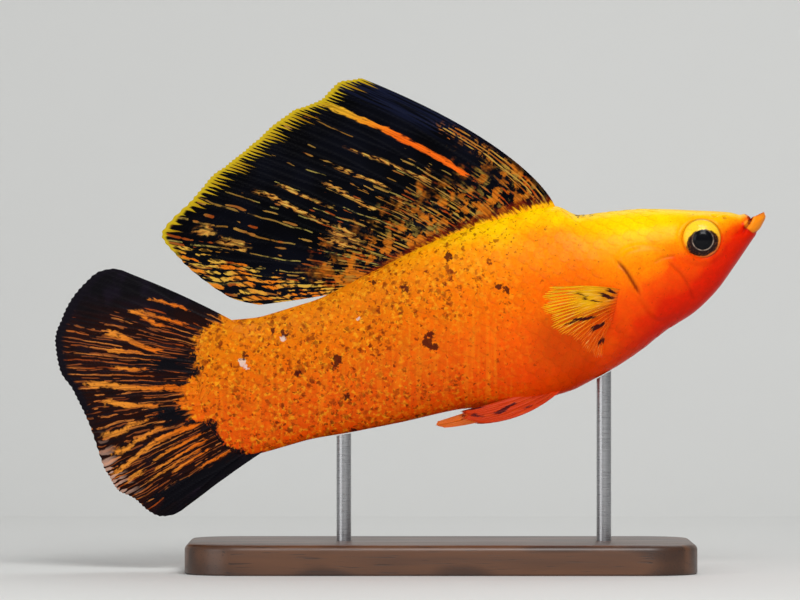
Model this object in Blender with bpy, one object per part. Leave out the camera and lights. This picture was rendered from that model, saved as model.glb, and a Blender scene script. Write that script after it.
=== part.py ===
"""A male sailfin molly as a still, life-size model, held nose-up in mid-swim by a plain stand.

The fish is modelled in its own frame: +X points out of the snout, +Z out of the back and +Y out of
its left side, with the origin on the midline at the mouth. A point of the fish is given as its
distance behind the mouth and its height over the midline, in millimetres. One empty carries the
whole fish and pitches it nose-up over the stand.
"""

import math

import bmesh
import bpy
import numpy as np
from mathutils import Matrix, Vector

MM = 0.001
GAP = 0.3                                  # clear space between pieces that touch, in mm

PITCH_DEG = 17.0                           # nose-up angle of the swimming fish
MOUTH_PLACE = (48.0, 0.0, 52.2)            # the fish's origin over the middle of the base's underside

# The body's outline and girth, section by section from inside the mouth to the root of the tail fin.
# Each section has a top point, a widest side point and a bottom point.
# distance and height of the top, distance, height and half-width of the side,
# distance and height of the bottom, squareness of the back and of the belly
BODY_SECTIONS = (
    (3.4, 0.7, 3.5, 0.3, 1.3, 2.2, 0.1, 2.0, 2.0),            # floor of the open mouth
    (2.3, 1.25, 2.5, 0.6, 2.0, -0.1, 0.75, 2.0, 2.0),         # inner side of the lips
    (1.6, 1.7, 1.3, 1.05, 2.55, -1.05, 1.4, 2.0, 2.0),        # crest of the lips
    (1.9, 2.05, 2.5, 0.0, 3.05, -0.95, 0.45, 2.2, 2.2),       # front of the lips
    (2.6, 2.15, 3.3, -0.7, 3.15, 0.3, -0.95, 2.4, 2.2),       # groove behind the lips
    (3.8, 2.85, 4.4, -0.7, 3.9, 2.2, -2.45, 2.6, 2.2),        # snout and chin
    (5.8, 3.65, 6.4, -0.4, 4.7, 5.3, -4.95, 2.8, 2.2),
    (9.2, 4.85, 9.6, -0.2, 5.35, 9.6, -8.15, 2.8, 2.2),       # eyes
    (13.0, 6.2, 13.2, -0.8, 5.85, 13.8, -10.2, 2.6, 2.1),     # cheek
    (17.5, 7.55, 17.8, -1.6, 6.2, 18.2, -11.4, 2.4, 2.1),     # gill covers
    (22.0, 8.45, 22.4, -2.2, 6.4, 23.0, -13.25, 2.3, 2.1),    # shoulder
    (25.8, 9.2, 26.2, -2.6, 6.45, 27.2, -14.5, 2.2, 2.0),
    (28.8, 11.5, 29.6, -2.8, 6.35, 31.0, -15.3, 2.0, 2.0),    # first ray of the dorsal fin
    (33.0, 12.0, 34.0, -2.8, 6.1, 35.0, -15.9, 2.0, 2.0),
    (40.0, 12.15, 40.0, -2.6, 5.6, 40.0, -15.9, 2.0, 2.0),    # vent
    (46.0, 11.95, 46.0, -2.2, 5.0, 46.0, -14.9, 2.0, 2.0),
    (52.0, 11.15, 52.0, -1.8, 4.4, 52.0, -13.6, 2.0, 2.0),
    (60.0, 9.75, 60.0, -1.5, 3.6, 60.0, -13.0, 2.0, 2.0),     # last ray of the dorsal fin
    (68.0, 8.5, 68.0, -1.3, 2.9, 68.0, -12.2, 2.0, 2.0),
    (75.0, 8.5, 75.0, -1.2, 2.3, 75.0, -11.4, 2.0, 2.0),      # thinnest of the tail stalk
    (81.0, 9.4, 81.0, -1.0, 1.7, 81.0, -11.3, 2.0, 2.0),
    (84.3, 9.1, 84.6, -1.0, 1.2, 84.3, -10.8, 2.0, 2.0),
    (86.7, 6.8, 87.1, -1.2, 0.8, 86.8, -8.8, 2.0, 2.0),
    (88.0, 2.0, 88.2, -1.5, 0.5, 88.1, -5.2, 2.0, 2.0),       # rounded end under the tail rays
)
GILL_LENGTHS = slice(6, 15)                # the sections that the gill covers lie on
RINGS_PER_SECTION = 2
SIDES = 28

# Eyes: lens-shaped balls that stand a little out of the head.
EYE_PLACE = (9.4, 4.85, 0.3)               # distance, sideways and height of the centre
EYE_RADIUS = 2.9
EYE_HALF_DEPTH = 1.3
ORBIT_RIM_RADIUS = 3.35                    # the soft fold of skin round the eye
ORBIT_RIM_HALF_WIDTH = 0.5
ORBIT_RIM_PROUD = -0.1                     # height of its middle line over the head's side
NOSTRIL_PLACE = (5.0, 3.35, 2.35)
NOSTRIL_RADIUS = 0.4

# The head ends in one round cut that follows the rear edge of the gill covers.
HEAD_CUT_CENTRE = (8.0, -3.0)
HEAD_CUT_RADII = (14.1, 16.0)
# The plate's outline in the side view, from its upper front corner round over the rear.
GILL_COVER_EDGE = (
    (14.7, -0.6), (17.6, 1.6), (21.0, 1.9), (22.4, -0.2), (21.6, -4.3), (19.3, -9.4), (14.6, -8.9), (13.3, -5.2),
)
GILL_COVER_DEPTH = 1.0                     # how deep the plate reaches under the skin
GILL_COVER_PROUD = 0.3                     # how far it stands over the skin
# The lower jaw is parted from the head along this line, from the gape to the throat.
JAW_CUT = ((1.0, 1.4), (1.7, 0.7), (2.7, -0.3), (4.2, -2.1), (5.8, -4.2), (6.7, -8.5))
TAIL_CUT = 62.0                            # where the trunk ends and the tail stalk starts
TAIL_END = 80.0                            # where the stalk starts to round off

# Fins: thickness in mm of the membrane at its root and edge, and height of a ray over it.
MEMBRANE_ROOT = 0.6
MEMBRANE = 0.5
MEMBRANE_EDGE = 0.4
RAY_HEIGHT = 0.4

# Stand
BASE_SIZE = (76.0, 40.0, 4.5)
BASE_CORNER = 8.0
BASE_BEVEL = 0.8
ROD_RADIUS = 1.1
ROD_PLACES = {"stand_rod_front": 24.5, "stand_rod_rear": -14.5}
ROD_REACH = 30.0                           # long enough to end inside the fish before it is cut

ORANGE = (0.85, 0.26, 0.02, 1.0)
RED_ORANGE = (0.78, 0.10, 0.01, 1.0)
BLACK_FIN = (0.02, 0.015, 0.02, 1.0)
AMBER = (0.80, 0.36, 0.04, 1.0)
EYE_DARK = (0.01, 0.01, 0.015, 1.0)
WALNUT = (0.12, 0.06, 0.03, 1.0)
STEEL = (0.55, 0.55, 0.56, 1.0)


def clear_scene():
    for obj in list(bpy.data.objects):
        bpy.data.objects.remove(obj, do_unlink=True)


def material(name, colour, roughness, metallic=0.0):
    made = bpy.data.materials.new(name)
    made.use_nodes = True
    shader = made.node_tree.nodes["Principled BSDF"]
    shader.inputs["Base Color"].default_value = colour
    shader.inputs["Roughness"].default_value = roughness
    shader.inputs["Metallic"].default_value = metallic
    made.diffuse_color = colour
    return made


def eased(knots, values, at):
    """Monotone cubic through the values, so that an outline is smooth and never overshoots."""
    knots, values = np.asarray(knots, float), np.asarray(values, float)
    step = np.diff(knots)
    slope = np.diff(values) / step
    inner = np.zeros(len(knots))
    same_way = slope[:-1] * slope[1:] > 0
    total = step[:-1] + step[1:]
    with np.errstate(divide="ignore", invalid="ignore"):
        mean = 3 * total / ((total + step[1:]) / slope[:-1] + (total + step[:-1]) / slope[1:])
    inner[1:-1] = np.where(same_way, mean, 0.0)
    inner[0], inner[-1] = slope[0], slope[-1]
    at = np.clip(np.asarray(at, float), knots[0], knots[-1])
    k = np.clip(np.searchsorted(knots, at, side="right") - 1, 0, len(step) - 1)
    f = (at - knots[k]) / step[k]
    return (
        values[k] * (1 + 2 * f) * (1 - f) ** 2
        + inner[k] * step[k] * f * (1 - f) ** 2
        + values[k + 1] * f * f * (3 - 2 * f)
        + inner[k + 1] * step[k] * f * f * (f - 1)
    )


def fish_point(behind, aside, over):
    """A point of the fish from its distance behind the mouth, its side and its height, in mm."""
    return Vector((-behind * MM, aside * MM, over * MM))


def body_rings(swell, lengths):
    """The body's skin over some of its lengths as rings of points, grown by swell mm all round."""
    table = np.array(BODY_SECTIONS[lengths])
    # The rounded end under the tail rays grows rearward too.
    rearward = swell * np.clip((table[:, 2] - TAIL_END) / 4.0, 0.0, 1.0)
    table[:, (0, 2, 5)] += rearward[:, None]
    sections = np.arange(len(table))
    at = np.linspace(0, len(table) - 1, (len(table) - 1) * RINGS_PER_SECTION + 1)
    columns = [eased(sections, table[:, i], at) for i in range(table.shape[1])]
    rings = []
    for top_x, top_z, side_x, side_z, half, low_x, low_z, back, belly in zip(*columns):
        ring = []
        for k in range(SIDES):
            angle = 2 * math.pi * k / SIDES
            across, up = math.cos(angle), math.sin(angle)
            power = 2 / (back if up >= 0 else belly)
            end_x, end_z = (top_x, top_z + swell) if up >= 0 else (low_x, low_z - swell)
            share = abs(up) ** power
            aside = math.copysign(abs(across) ** power, across) * (half + swell)
            ring.append((side_x + (end_x - side_x) * share, aside, side_z + (end_z - side_z) * share))
        rings.append(ring)
    return rings


def mesh_object(name, bm, parent, surface=None):
    bmesh.ops.recalc_face_normals(bm, faces=bm.faces)
    mesh = bpy.data.meshes.new(name)
    bm.to_mesh(mesh)
    bm.free()
    obj = bpy.data.objects.new(name, mesh)
    bpy.context.scene.collection.objects.link(obj)
    obj.parent = parent
    if surface is not None:
        mesh.materials.append(surface)
        mesh.shade_smooth()
        mesh.set_sharp_from_angle(angle=math.radians(50))
    return obj


def as_cutter(obj):
    obj.hide_render = True
    obj.display_type = "WIRE"
    return obj


def boolean(obj, cutter, operation):
    modifier = obj.modifiers.new(operation.lower() + "_" + cutter.name, "BOOLEAN")
    modifier.object = cutter
    modifier.operation = operation
    modifier.solver = "EXACT"


def body_object(name, parent, swell=0.0, surface=None, lengths=slice(None)):
    """The whole body, or some of its lengths, as one closed skin."""
    bm = bmesh.new()
    rings = [[bm.verts.new(fish_point(*p)) for p in ring] for ring in body_rings(swell, lengths)]
    for near, far in zip(rings, rings[1:]):
        for k in range(SIDES):
            n = (k + 1) % SIDES
            bm.faces.new((near[k], near[n], far[n], far[k]))
    bm.faces.new(rings[0])
    bm.faces.new(rings[-1][::-1])
    bmesh.ops.triangulate(bm, faces=bm.faces)
    return mesh_object(name, bm, parent, surface)


def outline_prism(name, parent, outline, from_side=-20.0, to_side=20.0):
    """A prism across the fish with a straight-sided outline."""
    bm = bmesh.new()
    flat = bm.faces.new([bm.verts.new(fish_point(x, from_side, z)) for x, z in outline])
    made = bmesh.ops.extrude_face_region(bm, geom=[flat])
    moved = [v for v in made["geom"] if isinstance(v, bmesh.types.BMVert)]
    bmesh.ops.translate(bm, verts=moved, vec=(0, (to_side - from_side) * MM, 0))
    return as_cutter(mesh_object(name, bm, parent))


def rounded_outline(points, grow=0.0, steps=4):
    """A smooth closed curve through the points, moved outward by grow mm."""
    count = len(points)
    curve = []
    for i in range(count):
        a, b, c, d = (Vector(points[(i + k) % count]) for k in (-1, 0, 1, 2))
        for k in range(steps):
            t = k / steps
            at = 0.5 * (2 * b + (c - a) * t + (2 * a - 5 * b + 4 * c - d) * t**2 + (3 * b - a - 3 * c + d) * t**3)
            along = (c - a) + 2 * (2 * a - 5 * b + 4 * c - d) * t + 3 * (3 * b - a - 3 * c + d) * t**2
            curve.append(at + Vector((-along.y, along.x)).normalized() * grow)
    return [tuple(p) for p in curve]


def oval_outline(centre, radii, sides=48):
    angles = [2 * math.pi * (k + 0.5) / sides for k in range(sides)]
    return [(centre[0] + radii[0] * math.cos(a), centre[1] + radii[1] * math.sin(a)) for a in angles]


def jaw_outline(shift):
    """The region in front of the jaw's cut, its edge moved back from the jaw by shift mm."""
    points = [Vector(p) for p in JAW_CUT]
    edge = []
    for i, p in enumerate(points):
        along = (points[min(i + 1, len(points) - 1)] - points[max(i - 1, 0)]).normalized()
        edge.append(p + Vector((-along.y, along.x)) * shift)
    return [tuple(p) for p in edge] + [(-6.0, -8.5), (-6.0, 6.0), (0.2, 2.6)]


def ellipsoid(name, parent, place, radii, surface=None, steps=20):
    bm = bmesh.new()
    bmesh.ops.create_uvsphere(bm, u_segments=steps, v_segments=steps // 2, radius=1.0)
    # The sphere's poles are turned to face out of the fish's sides.
    turn = Matrix.Rotation(math.radians(90), 4, "X")
    size = Matrix.Diagonal((radii[0] * MM, radii[1] * MM, radii[2] * MM, 1.0))
    bmesh.ops.transform(bm, matrix=Matrix.Translation(fish_point(*place)) @ size @ turn, verts=bm.verts)
    bmesh.ops.triangulate(bm, faces=bm.faces)
    return mesh_object(name, bm, parent, surface)


def flank(behind, over):
    """The body's half-width at a distance behind the mouth and a height, in mm."""
    table = np.array(BODY_SECTIONS)[4:]
    at = [float(np.interp(behind, table[:, 2], table[:, i])) for i in (1, 3, 4, 6, 7, 8)]
    top, side, half, low, back, belly = at
    share, power = ((over - side) / (top - side), back) if over >= side else ((side - over) / (side - low), belly)
    return half * max(0.0, 1.0 - min(1.0, share) ** power) ** (1 / power)


def orbit_rim(fish, sign):
    """The ring of raised skin round one eye, sunk half into the head."""
    bm = bmesh.new()
    sides, loops = 8, 28
    rows = []
    for i in range(loops):
        turn = 2 * math.pi * i / loops
        row = []
        for k in range(sides):
            roll = 2 * math.pi * k / sides
            radius = ORBIT_RIM_RADIUS + ORBIT_RIM_HALF_WIDTH * math.cos(roll)
            behind = EYE_PLACE[0] + radius * math.cos(turn)
            over = EYE_PLACE[2] + radius * math.sin(turn)
            middle = flank(EYE_PLACE[0] + ORBIT_RIM_RADIUS * math.cos(turn), over) + ORBIT_RIM_PROUD
            aside = middle + ORBIT_RIM_HALF_WIDTH * math.sin(roll)
            row.append(bm.verts.new(fish_point(behind, sign * aside, over)))
        rows.append(row)
    for i in range(loops):
        near, far = rows[i], rows[(i + 1) % loops]
        for k in range(sides):
            n = (k + 1) % sides
            bm.faces.new((near[k], near[n], far[n], far[k]))
    return mesh_object("rim", bm, fish)


def fuse(obj, pieces):
    """Join pieces to an object by one union of their collection, then remove them."""
    group = bpy.data.collections.new("pieces")
    bpy.context.scene.collection.children.link(group)
    for piece in pieces:
        group.objects.link(piece)
        bpy.context.scene.collection.objects.unlink(piece)
    modifier = obj.modifiers.new("fuse", "BOOLEAN")
    modifier.operation = "UNION"
    modifier.operand_type = "COLLECTION"
    modifier.collection = group
    bpy.context.view_layer.update()
    whole = bpy.data.meshes.new_from_object(obj.evaluated_get(bpy.context.evaluated_depsgraph_get()))
    obj.modifiers.clear()
    obj.data = whole
    for piece in pieces:
        bpy.data.objects.remove(piece, do_unlink=True)
    bpy.data.collections.remove(group)


def head_and_body(fish, flesh, head_colour):
    """The flesh in four lengths, the two gill covers, and the cutters that part them."""
    clear_radii = [r + GAP for r in HEAD_CUT_RADII]
    head_end = outline_prism("cut_head", fish, oval_outline(HEAD_CUT_CENTRE, HEAD_CUT_RADII))
    trunk_start = outline_prism("cut_trunk", fish, oval_outline(HEAD_CUT_CENTRE, clear_radii))
    jaw_region = outline_prism("cut_jaw", fish, jaw_outline(0.0))
    jaw_clear = outline_prism("cut_jaw_clear", fish, jaw_outline(GAP))
    behind = outline_prism("cut_behind", fish, [(TAIL_CUT, -30), (120, -30), (120, 40), (TAIL_CUT, 40)])
    stalk_start = TAIL_CUT + GAP
    before = outline_prism("cut_before", fish, [(-20, -30), (stalk_start, -30), (stalk_start, 40), (-20, 40)])

    head = body_object("head", fish, surface=head_colour)
    fuse(head, [orbit_rim(fish, sign) for sign in (1, -1)])
    boolean(head, head_end, "INTERSECT")
    boolean(head, jaw_clear, "DIFFERENCE")
    jaw = body_object("jaw_lower", fish, surface=head_colour)
    boolean(jaw, jaw_region, "INTERSECT")
    trunk = body_object("trunk", fish, surface=flesh)
    boolean(trunk, trunk_start, "DIFFERENCE")
    boolean(trunk, behind, "DIFFERENCE")
    stalk = body_object("tail_stalk", fish, surface=flesh)
    boolean(stalk, before, "DIFFERENCE")

    core = as_cutter(body_object("cut_gill_floor", fish, -GILL_COVER_DEPTH, lengths=GILL_LENGTHS))
    pocket_depth = GILL_COVER_DEPTH + GAP
    deep_core = as_cutter(body_object("cut_pocket_floor", fish, -pocket_depth, lengths=GILL_LENGTHS))
    for side, sign in (("left", 1), ("right", -1)):
        reach = sorted((1.5 * sign, 20.0 * sign))
        window = outline_prism("cut_gill_" + side, fish, rounded_outline(GILL_COVER_EDGE), *reach)
        cover = body_object("gill_cover_" + side, fish, swell=GILL_COVER_PROUD, surface=head_colour)
        boolean(cover, window, "INTERSECT")
        boolean(cover, core, "DIFFERENCE")
        wide = rounded_outline(GILL_COVER_EDGE, GAP)
        pocket = outline_prism("cut_pocket_" + side, fish, wide, *reach)
        boolean(pocket, deep_core, "DIFFERENCE")
        for flesh_part in (head, trunk):
            boolean(flesh_part, pocket, "DIFFERENCE")
    return head


def eyes_and_nostrils(fish, head, eye_surface):
    """The eyeballs in their sockets, and the pits of the nostrils."""
    grown = [EYE_RADIUS + GAP, EYE_HALF_DEPTH + GAP, EYE_RADIUS + GAP]
    for side, sign in (("left", 1), ("right", -1)):
        place = (EYE_PLACE[0], EYE_PLACE[1] * sign, EYE_PLACE[2])
        ellipsoid("eye_" + side, fish, place, (EYE_RADIUS, EYE_HALF_DEPTH, EYE_RADIUS), eye_surface, 24)
        socket = as_cutter(ellipsoid("cut_socket_" + side, fish, place, grown, steps=24))
        boolean(head, socket, "DIFFERENCE")
        place = (NOSTRIL_PLACE[0], NOSTRIL_PLACE[1] * sign, NOSTRIL_PLACE[2])
        pit = as_cutter(ellipsoid("cut_nostril_" + side, fish, place, [NOSTRIL_RADIUS] * 3, steps=8))
        boolean(head, pit, "DIFFERENCE")


def back_height(behind):
    """Height of the back's ridge at a distance behind the mouth."""
    table = np.array(BODY_SECTIONS)[3:]
    return float(np.interp(behind, table[:, 0], table[:, 1]))


def ray_shape(share, fork):
    """Ridge height, 0 to 1, at a share of the way from one ray to the next. Past the fork, 0 to 1, the
    ray's single ridge has split in two."""
    whole = {0.0: 1.0, 0.25: 0.2, 0.5: 0.0, 0.75: 0.2}[share]
    split = {0.0: 0.3, 0.25: 1.0, 0.5: 0.0, 0.75: 1.0}[share]
    return whole + (split - whole) * fork


def fin_object(name, fish, surface, rays, rows, place, fork_at=0.55, ray_height=RAY_HEIGHT):
    """A fin as one closed sheet. place(u, v) is its middle surface in mm: u runs from the first ray to the
    last, v from root to edge. The rays are ridges of the sheet's own two faces."""
    columns = (rays - 1) * 4 + 1
    grid = np.array([[place(i / (columns - 1), j / rows) for j in range(rows + 1)] for i in range(columns)])
    across = np.gradient(grid, axis=0)
    along = np.gradient(grid, axis=1)
    ray_gap = 4 * np.linalg.norm(across, axis=2)
    half = np.zeros((columns, rows + 1))
    for i in range(columns):
        for j in range(rows + 1):
            v = j / rows
            sheet = MEMBRANE_ROOT + (MEMBRANE - MEMBRANE_ROOT) * min(1.0, v * 3)
            sheet += (MEMBRANE_EDGE - MEMBRANE) * max(0.0, v - 0.85) / 0.15
            fork = min(1.0, max(0.0, (v - fork_at) / 0.12))
            # Where the rays draw together their ridges are lower.
            tallest = min(ray_height * (1 - 0.4 * v), 0.3 * ray_gap[i, j])
            half[i, j] = (sheet + ray_shape((i % 4) / 4, fork) * tallest) / 2
    normal = np.cross(across, along)
    normal /= np.linalg.norm(normal, axis=2, keepdims=True)
    bm = bmesh.new()
    faces = [
        [[bm.verts.new(fish_point(*p)) for p in line] for line in grid + normal * (half * sign)[:, :, None]]
        for sign in (1, -1)
    ]
    for points in faces:
        for i in range(columns - 1):
            for j in range(rows):
                a, b, c, d = points[i][j], points[i + 1][j], points[i + 1][j + 1], points[i][j + 1]
                bm.faces.new((a, b, c))
                bm.faces.new((a, c, d))
    rim = [(i, 0) for i in range(columns)] + [(columns - 1, j) for j in range(1, rows + 1)]
    rim += [(i, rows) for i in range(columns - 2, -1, -1)] + [(0, j) for j in range(rows - 1, 0, -1)]
    for (i, j), (k, m) in zip(rim, rim[1:] + rim[:1]):
        a, b, c, d = faces[0][i][j], faces[0][k][m], faces[1][k][m], faces[1][i][j]
        bm.faces.new((a, b, c))
        bm.faces.new((a, c, d))
    return mesh_object(name, bm, fish, surface)


def ray_curve(root, tip, bulge, v, skew=1.0):
    """A point along a ray that bows by bulge mm from the straight line between its ends. A skew under 1
    bows it most nearer its root."""
    root, tip = Vector(root), Vector(tip)
    along = (tip - root).normalized()
    w = v**skew
    bow = Vector((-along.y, along.x)) * (4 * bulge * w * (1 - w))
    return root.lerp(tip, v) + bow


# The edge of each fin: share of the way from the first ray to the last, then distance and height.
DORSAL_BASE = (28.9, 61.0)
DORSAL_EDGE = (
    (0.0, 51.0, 38.3), (0.06, 54.0, 38.8), (0.16, 57.7, 37.2), (0.28, 62.5, 36.6), (0.4, 67.3, 34.7),
    (0.52, 71.8, 32.8), (0.64, 76.2, 31.0), (0.75, 80.6, 28.3), (0.84, 86.5, 24.2), (0.9, 85.0, 20.2),
    (0.95, 82.0, 15.6), (0.98, 79.0, 12.2), (1.0, 75.6, 10.2),
)
DORSAL_RAYS = 16
CAUDAL_EDGE = (
    (0.0, 93.6, 21.0), (0.025, 95.1, 21.9), (0.05, 97.0, 22.1), (0.09, 99.5, 21.2), (0.21, 104.5, 17.0),
    (0.3, 106.7, 13.6), (0.38, 107.1, 9.8), (0.45, 106.1, 6.0), (0.55, 105.4, 0.8), (0.65, 105.0, -6.4),
    (0.75, 104.2, -9.8), (0.85, 102.0, -12.4), (0.91, 100.6, -14.6), (0.95, 99.0, -15.9), (0.98, 97.0, -16.2),
    (1.0, 94.8, -15.4),
)
CAUDAL_RAYS = 15
CAUDAL_ROOT = ((79.5, 8.6), (80.0, -10.5))
PECTORAL_EDGE = (
    (0.0, 33.6, 0.2), (0.15, 35.3, -1.6), (0.35, 35.5, -4.2), (0.55, 34.0, -7.2), (0.75, 31.6, -10.0),
    (0.9, 30.2, -11.7), (1.0, 28.9, -12.2),
)
PECTORAL_RAYS = 11
PECTORAL_ROOT = ((23.0, -3.4), (25.9, -7.3))
PECTORAL_SIDE = (5.9, 12.6)                # sideways place of its root, under the skin, and of its edge
PECTORAL_BOW = (0.3, 0.3)                  # how far the first and the last ray bow upward
PELVIC_EDGE = ((0.0, 51.4, -13.95), (0.35, 51.7, -14.6), (0.7, 51.0, -15.7), (1.0, 48.9, -16.55))
PELVIC_RAYS = 6
PELVIC_ROOT = ((37.4, -13.9), (36.2, -15.4))
PELVIC_SIDE = (1.3, 3.4)
PELVIC_BOW = (-0.2, -1.1)
ANAL_EDGE = ((0.0, 55.3, -14.35), (0.5, 55.6, -14.8), (1.0, 54.6, -15.5))
ANAL_RAYS = 3
ANAL_ROOT = ((42.4, -13.9), (40.2, -15.0))
ANAL_BOW = (-0.1, -1.0)


def edge_point(table, u):
    table = np.array(table)
    return float(eased(table[:, 0], table[:, 1], u)), float(eased(table[:, 0], table[:, 2], u))


def dorsal_place(u, v):
    """The sail: rays that lean far back, the front one bowed most, with a slow wave along the edge."""
    behind = DORSAL_BASE[0] + (DORSAL_BASE[1] - DORSAL_BASE[0]) * u
    root = (behind, back_height(behind) - 1.2)
    bulge = 3.0 - 3.3 * min(1.0, u * 1.15)
    x, z = ray_curve(root, edge_point(DORSAL_EDGE, u), bulge, v, 0.7)
    return x, 0.9 * v * v * math.sin(5.0 * u + 0.4), z


def caudal_place(u, v):
    """The tail fan, swung a little to one side."""
    root_x = CAUDAL_ROOT[0][0] + 4.0 * math.sin(math.pi * u)
    root = (root_x, CAUDAL_ROOT[0][1] + (CAUDAL_ROOT[1][1] - CAUDAL_ROOT[0][1]) * u)
    bulge = 0.35 * (1 - u) ** 3 + 0.15 * u
    x, z = ray_curve(root, edge_point(CAUDAL_EDGE, u), bulge, v)
    return x, v * v * (1.0 + 0.45 * math.sin(9.0 * u)), z


def bow_at(bow, u):
    """How far a ray bows, between the first ray's bow and the last one's."""
    return bow[0] + (bow[1] - bow[0]) * u


def paired_place(root_line, edge, sides, bow, sign):
    """The place of a pectoral or pelvic fin that leaves the body sideways."""

    def place(u, v):
        root = Vector(root_line[0]).lerp(Vector(root_line[1]), u)
        x, z = ray_curve(root, edge_point(edge, u), bow_at(bow, u), v)
        aside = sides[0] + (sides[1] - sides[0]) * v
        return x, sign * (aside + 0.25 * v * math.sin(4.0 * u)), z

    return place


def anal_place(u, v):
    """The male's rod-like anal fin, folded back along the belly."""
    root = Vector(ANAL_ROOT[0]).lerp(Vector(ANAL_ROOT[1]), u)
    x, z = ray_curve(root, edge_point(ANAL_EDGE, u), bow_at(ANAL_BOW, u), v)
    return x, 0.0, z


def fins(fish, dark, amber):
    """Every fin, cut to the flesh that it grows from with the gap that touching pieces keep."""
    skin_clear = as_cutter(body_object("cut_skin_clear", fish, swell=GAP))
    made = [
        fin_object("dorsal_fin", fish, dark, DORSAL_RAYS, 10, dorsal_place),
        fin_object("caudal_fin", fish, dark, CAUDAL_RAYS, 9, caudal_place),
        fin_object("gonopodium", fish, amber, ANAL_RAYS, 7, anal_place, fork_at=2.0),
    ]
    for side, sign in (("left", 1), ("right", -1)):
        pectoral = paired_place(PECTORAL_ROOT, PECTORAL_EDGE, PECTORAL_SIDE, PECTORAL_BOW, sign)
        made.append(fin_object("pectoral_fin_" + side, fish, amber, PECTORAL_RAYS, 6, pectoral, 0.6))
        pelvic = paired_place(PELVIC_ROOT, PELVIC_EDGE, PELVIC_SIDE, PELVIC_BOW, sign)
        made.append(fin_object("pelvic_fin_" + side, fish, amber, PELVIC_RAYS, 6, pelvic, 0.6))
    for fin in made:
        boolean(fin, skin_clear, "DIFFERENCE")
    return skin_clear


def stand(skin_clear, wood, steel):
    """A flat base and two rods whose tops follow the belly."""
    bm = bmesh.new()
    bmesh.ops.create_cube(bm, size=1.0)
    size = Matrix.Diagonal([s * MM for s in BASE_SIZE] + [1.0])
    bmesh.ops.transform(bm, matrix=Matrix.Translation((0, 0, BASE_SIZE[2] * MM / 2)) @ size, verts=bm.verts)
    upright = [e for e in bm.edges if abs(e.verts[0].co.z - e.verts[1].co.z) > MM]
    bmesh.ops.bevel(bm, geom=upright, offset=BASE_CORNER * MM, segments=6, profile=0.5, affect="EDGES")
    top = [e for e in bm.edges if min(v.co.z for v in e.verts) > (BASE_SIZE[2] - 0.1) * MM]
    bmesh.ops.bevel(bm, geom=top, offset=BASE_BEVEL * MM, segments=2, profile=0.5, affect="EDGES")
    mesh_object("stand_base", bm, None, wood)
    for name, along in ROD_PLACES.items():
        bm = bmesh.new()
        bmesh.ops.create_cone(
            bm, cap_ends=True, segments=20, radius1=ROD_RADIUS * MM, radius2=ROD_RADIUS * MM,
            depth=ROD_REACH * MM,
        )
        foot = BASE_SIZE[2] + GAP + ROD_REACH / 2
        bmesh.ops.translate(bm, verts=bm.verts, vec=(along * MM, 0, foot * MM))
        rod = mesh_object(name, bm, None, steel)
        boolean(rod, skin_clear, "DIFFERENCE")


def main():
    clear_scene()
    fish = bpy.data.objects.new("fish_in_its_pose", None)
    bpy.context.scene.collection.objects.link(fish)
    fish.location = [c * MM for c in MOUTH_PLACE]
    fish.rotation_euler = (0.0, -math.radians(PITCH_DEG), 0.0)
    flesh = material("flesh", ORANGE, 0.35)
    red = material("head_flesh", RED_ORANGE, 0.35)
    head = head_and_body(fish, flesh, red)
    eyes_and_nostrils(fish, head, material("eye", EYE_DARK, 0.05))
    skin_clear = fins(fish, material("fin_dark", BLACK_FIN, 0.4), material("fin_amber", AMBER, 0.4))
    stand(skin_clear, material("stand_wood", WALNUT, 0.45), material("stand_steel", STEEL, 0.3, 1.0))


main()
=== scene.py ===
import math

import bpy
import numpy as np
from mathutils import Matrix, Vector


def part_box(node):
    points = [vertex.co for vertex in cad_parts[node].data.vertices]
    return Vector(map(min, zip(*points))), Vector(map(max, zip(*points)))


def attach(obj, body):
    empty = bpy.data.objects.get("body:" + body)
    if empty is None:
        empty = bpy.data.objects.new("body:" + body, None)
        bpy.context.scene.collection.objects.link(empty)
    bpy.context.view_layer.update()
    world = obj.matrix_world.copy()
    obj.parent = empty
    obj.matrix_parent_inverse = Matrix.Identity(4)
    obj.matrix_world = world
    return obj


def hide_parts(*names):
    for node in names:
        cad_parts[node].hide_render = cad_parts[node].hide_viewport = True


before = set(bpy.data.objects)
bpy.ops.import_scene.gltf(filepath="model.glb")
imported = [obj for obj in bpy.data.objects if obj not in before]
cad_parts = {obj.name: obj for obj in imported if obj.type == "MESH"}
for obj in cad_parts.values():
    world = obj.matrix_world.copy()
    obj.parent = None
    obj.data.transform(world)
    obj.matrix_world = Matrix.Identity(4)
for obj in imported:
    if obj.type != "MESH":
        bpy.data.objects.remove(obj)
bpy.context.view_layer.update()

# Skin. One smooth wet skin covers the fish from the lips to the root of the tail rays. It is a loft through
# sections across the fish, with the folds of the head raised or sunk in its own surface. Lengths are in
# millimetres in the fish's own frame: distance behind the mouth, to the left, and over the midline.
MM = 0.001
PITCH = math.radians(17.0)
MOUTH = np.array((0.048, 0.0, 0.0522))
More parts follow.
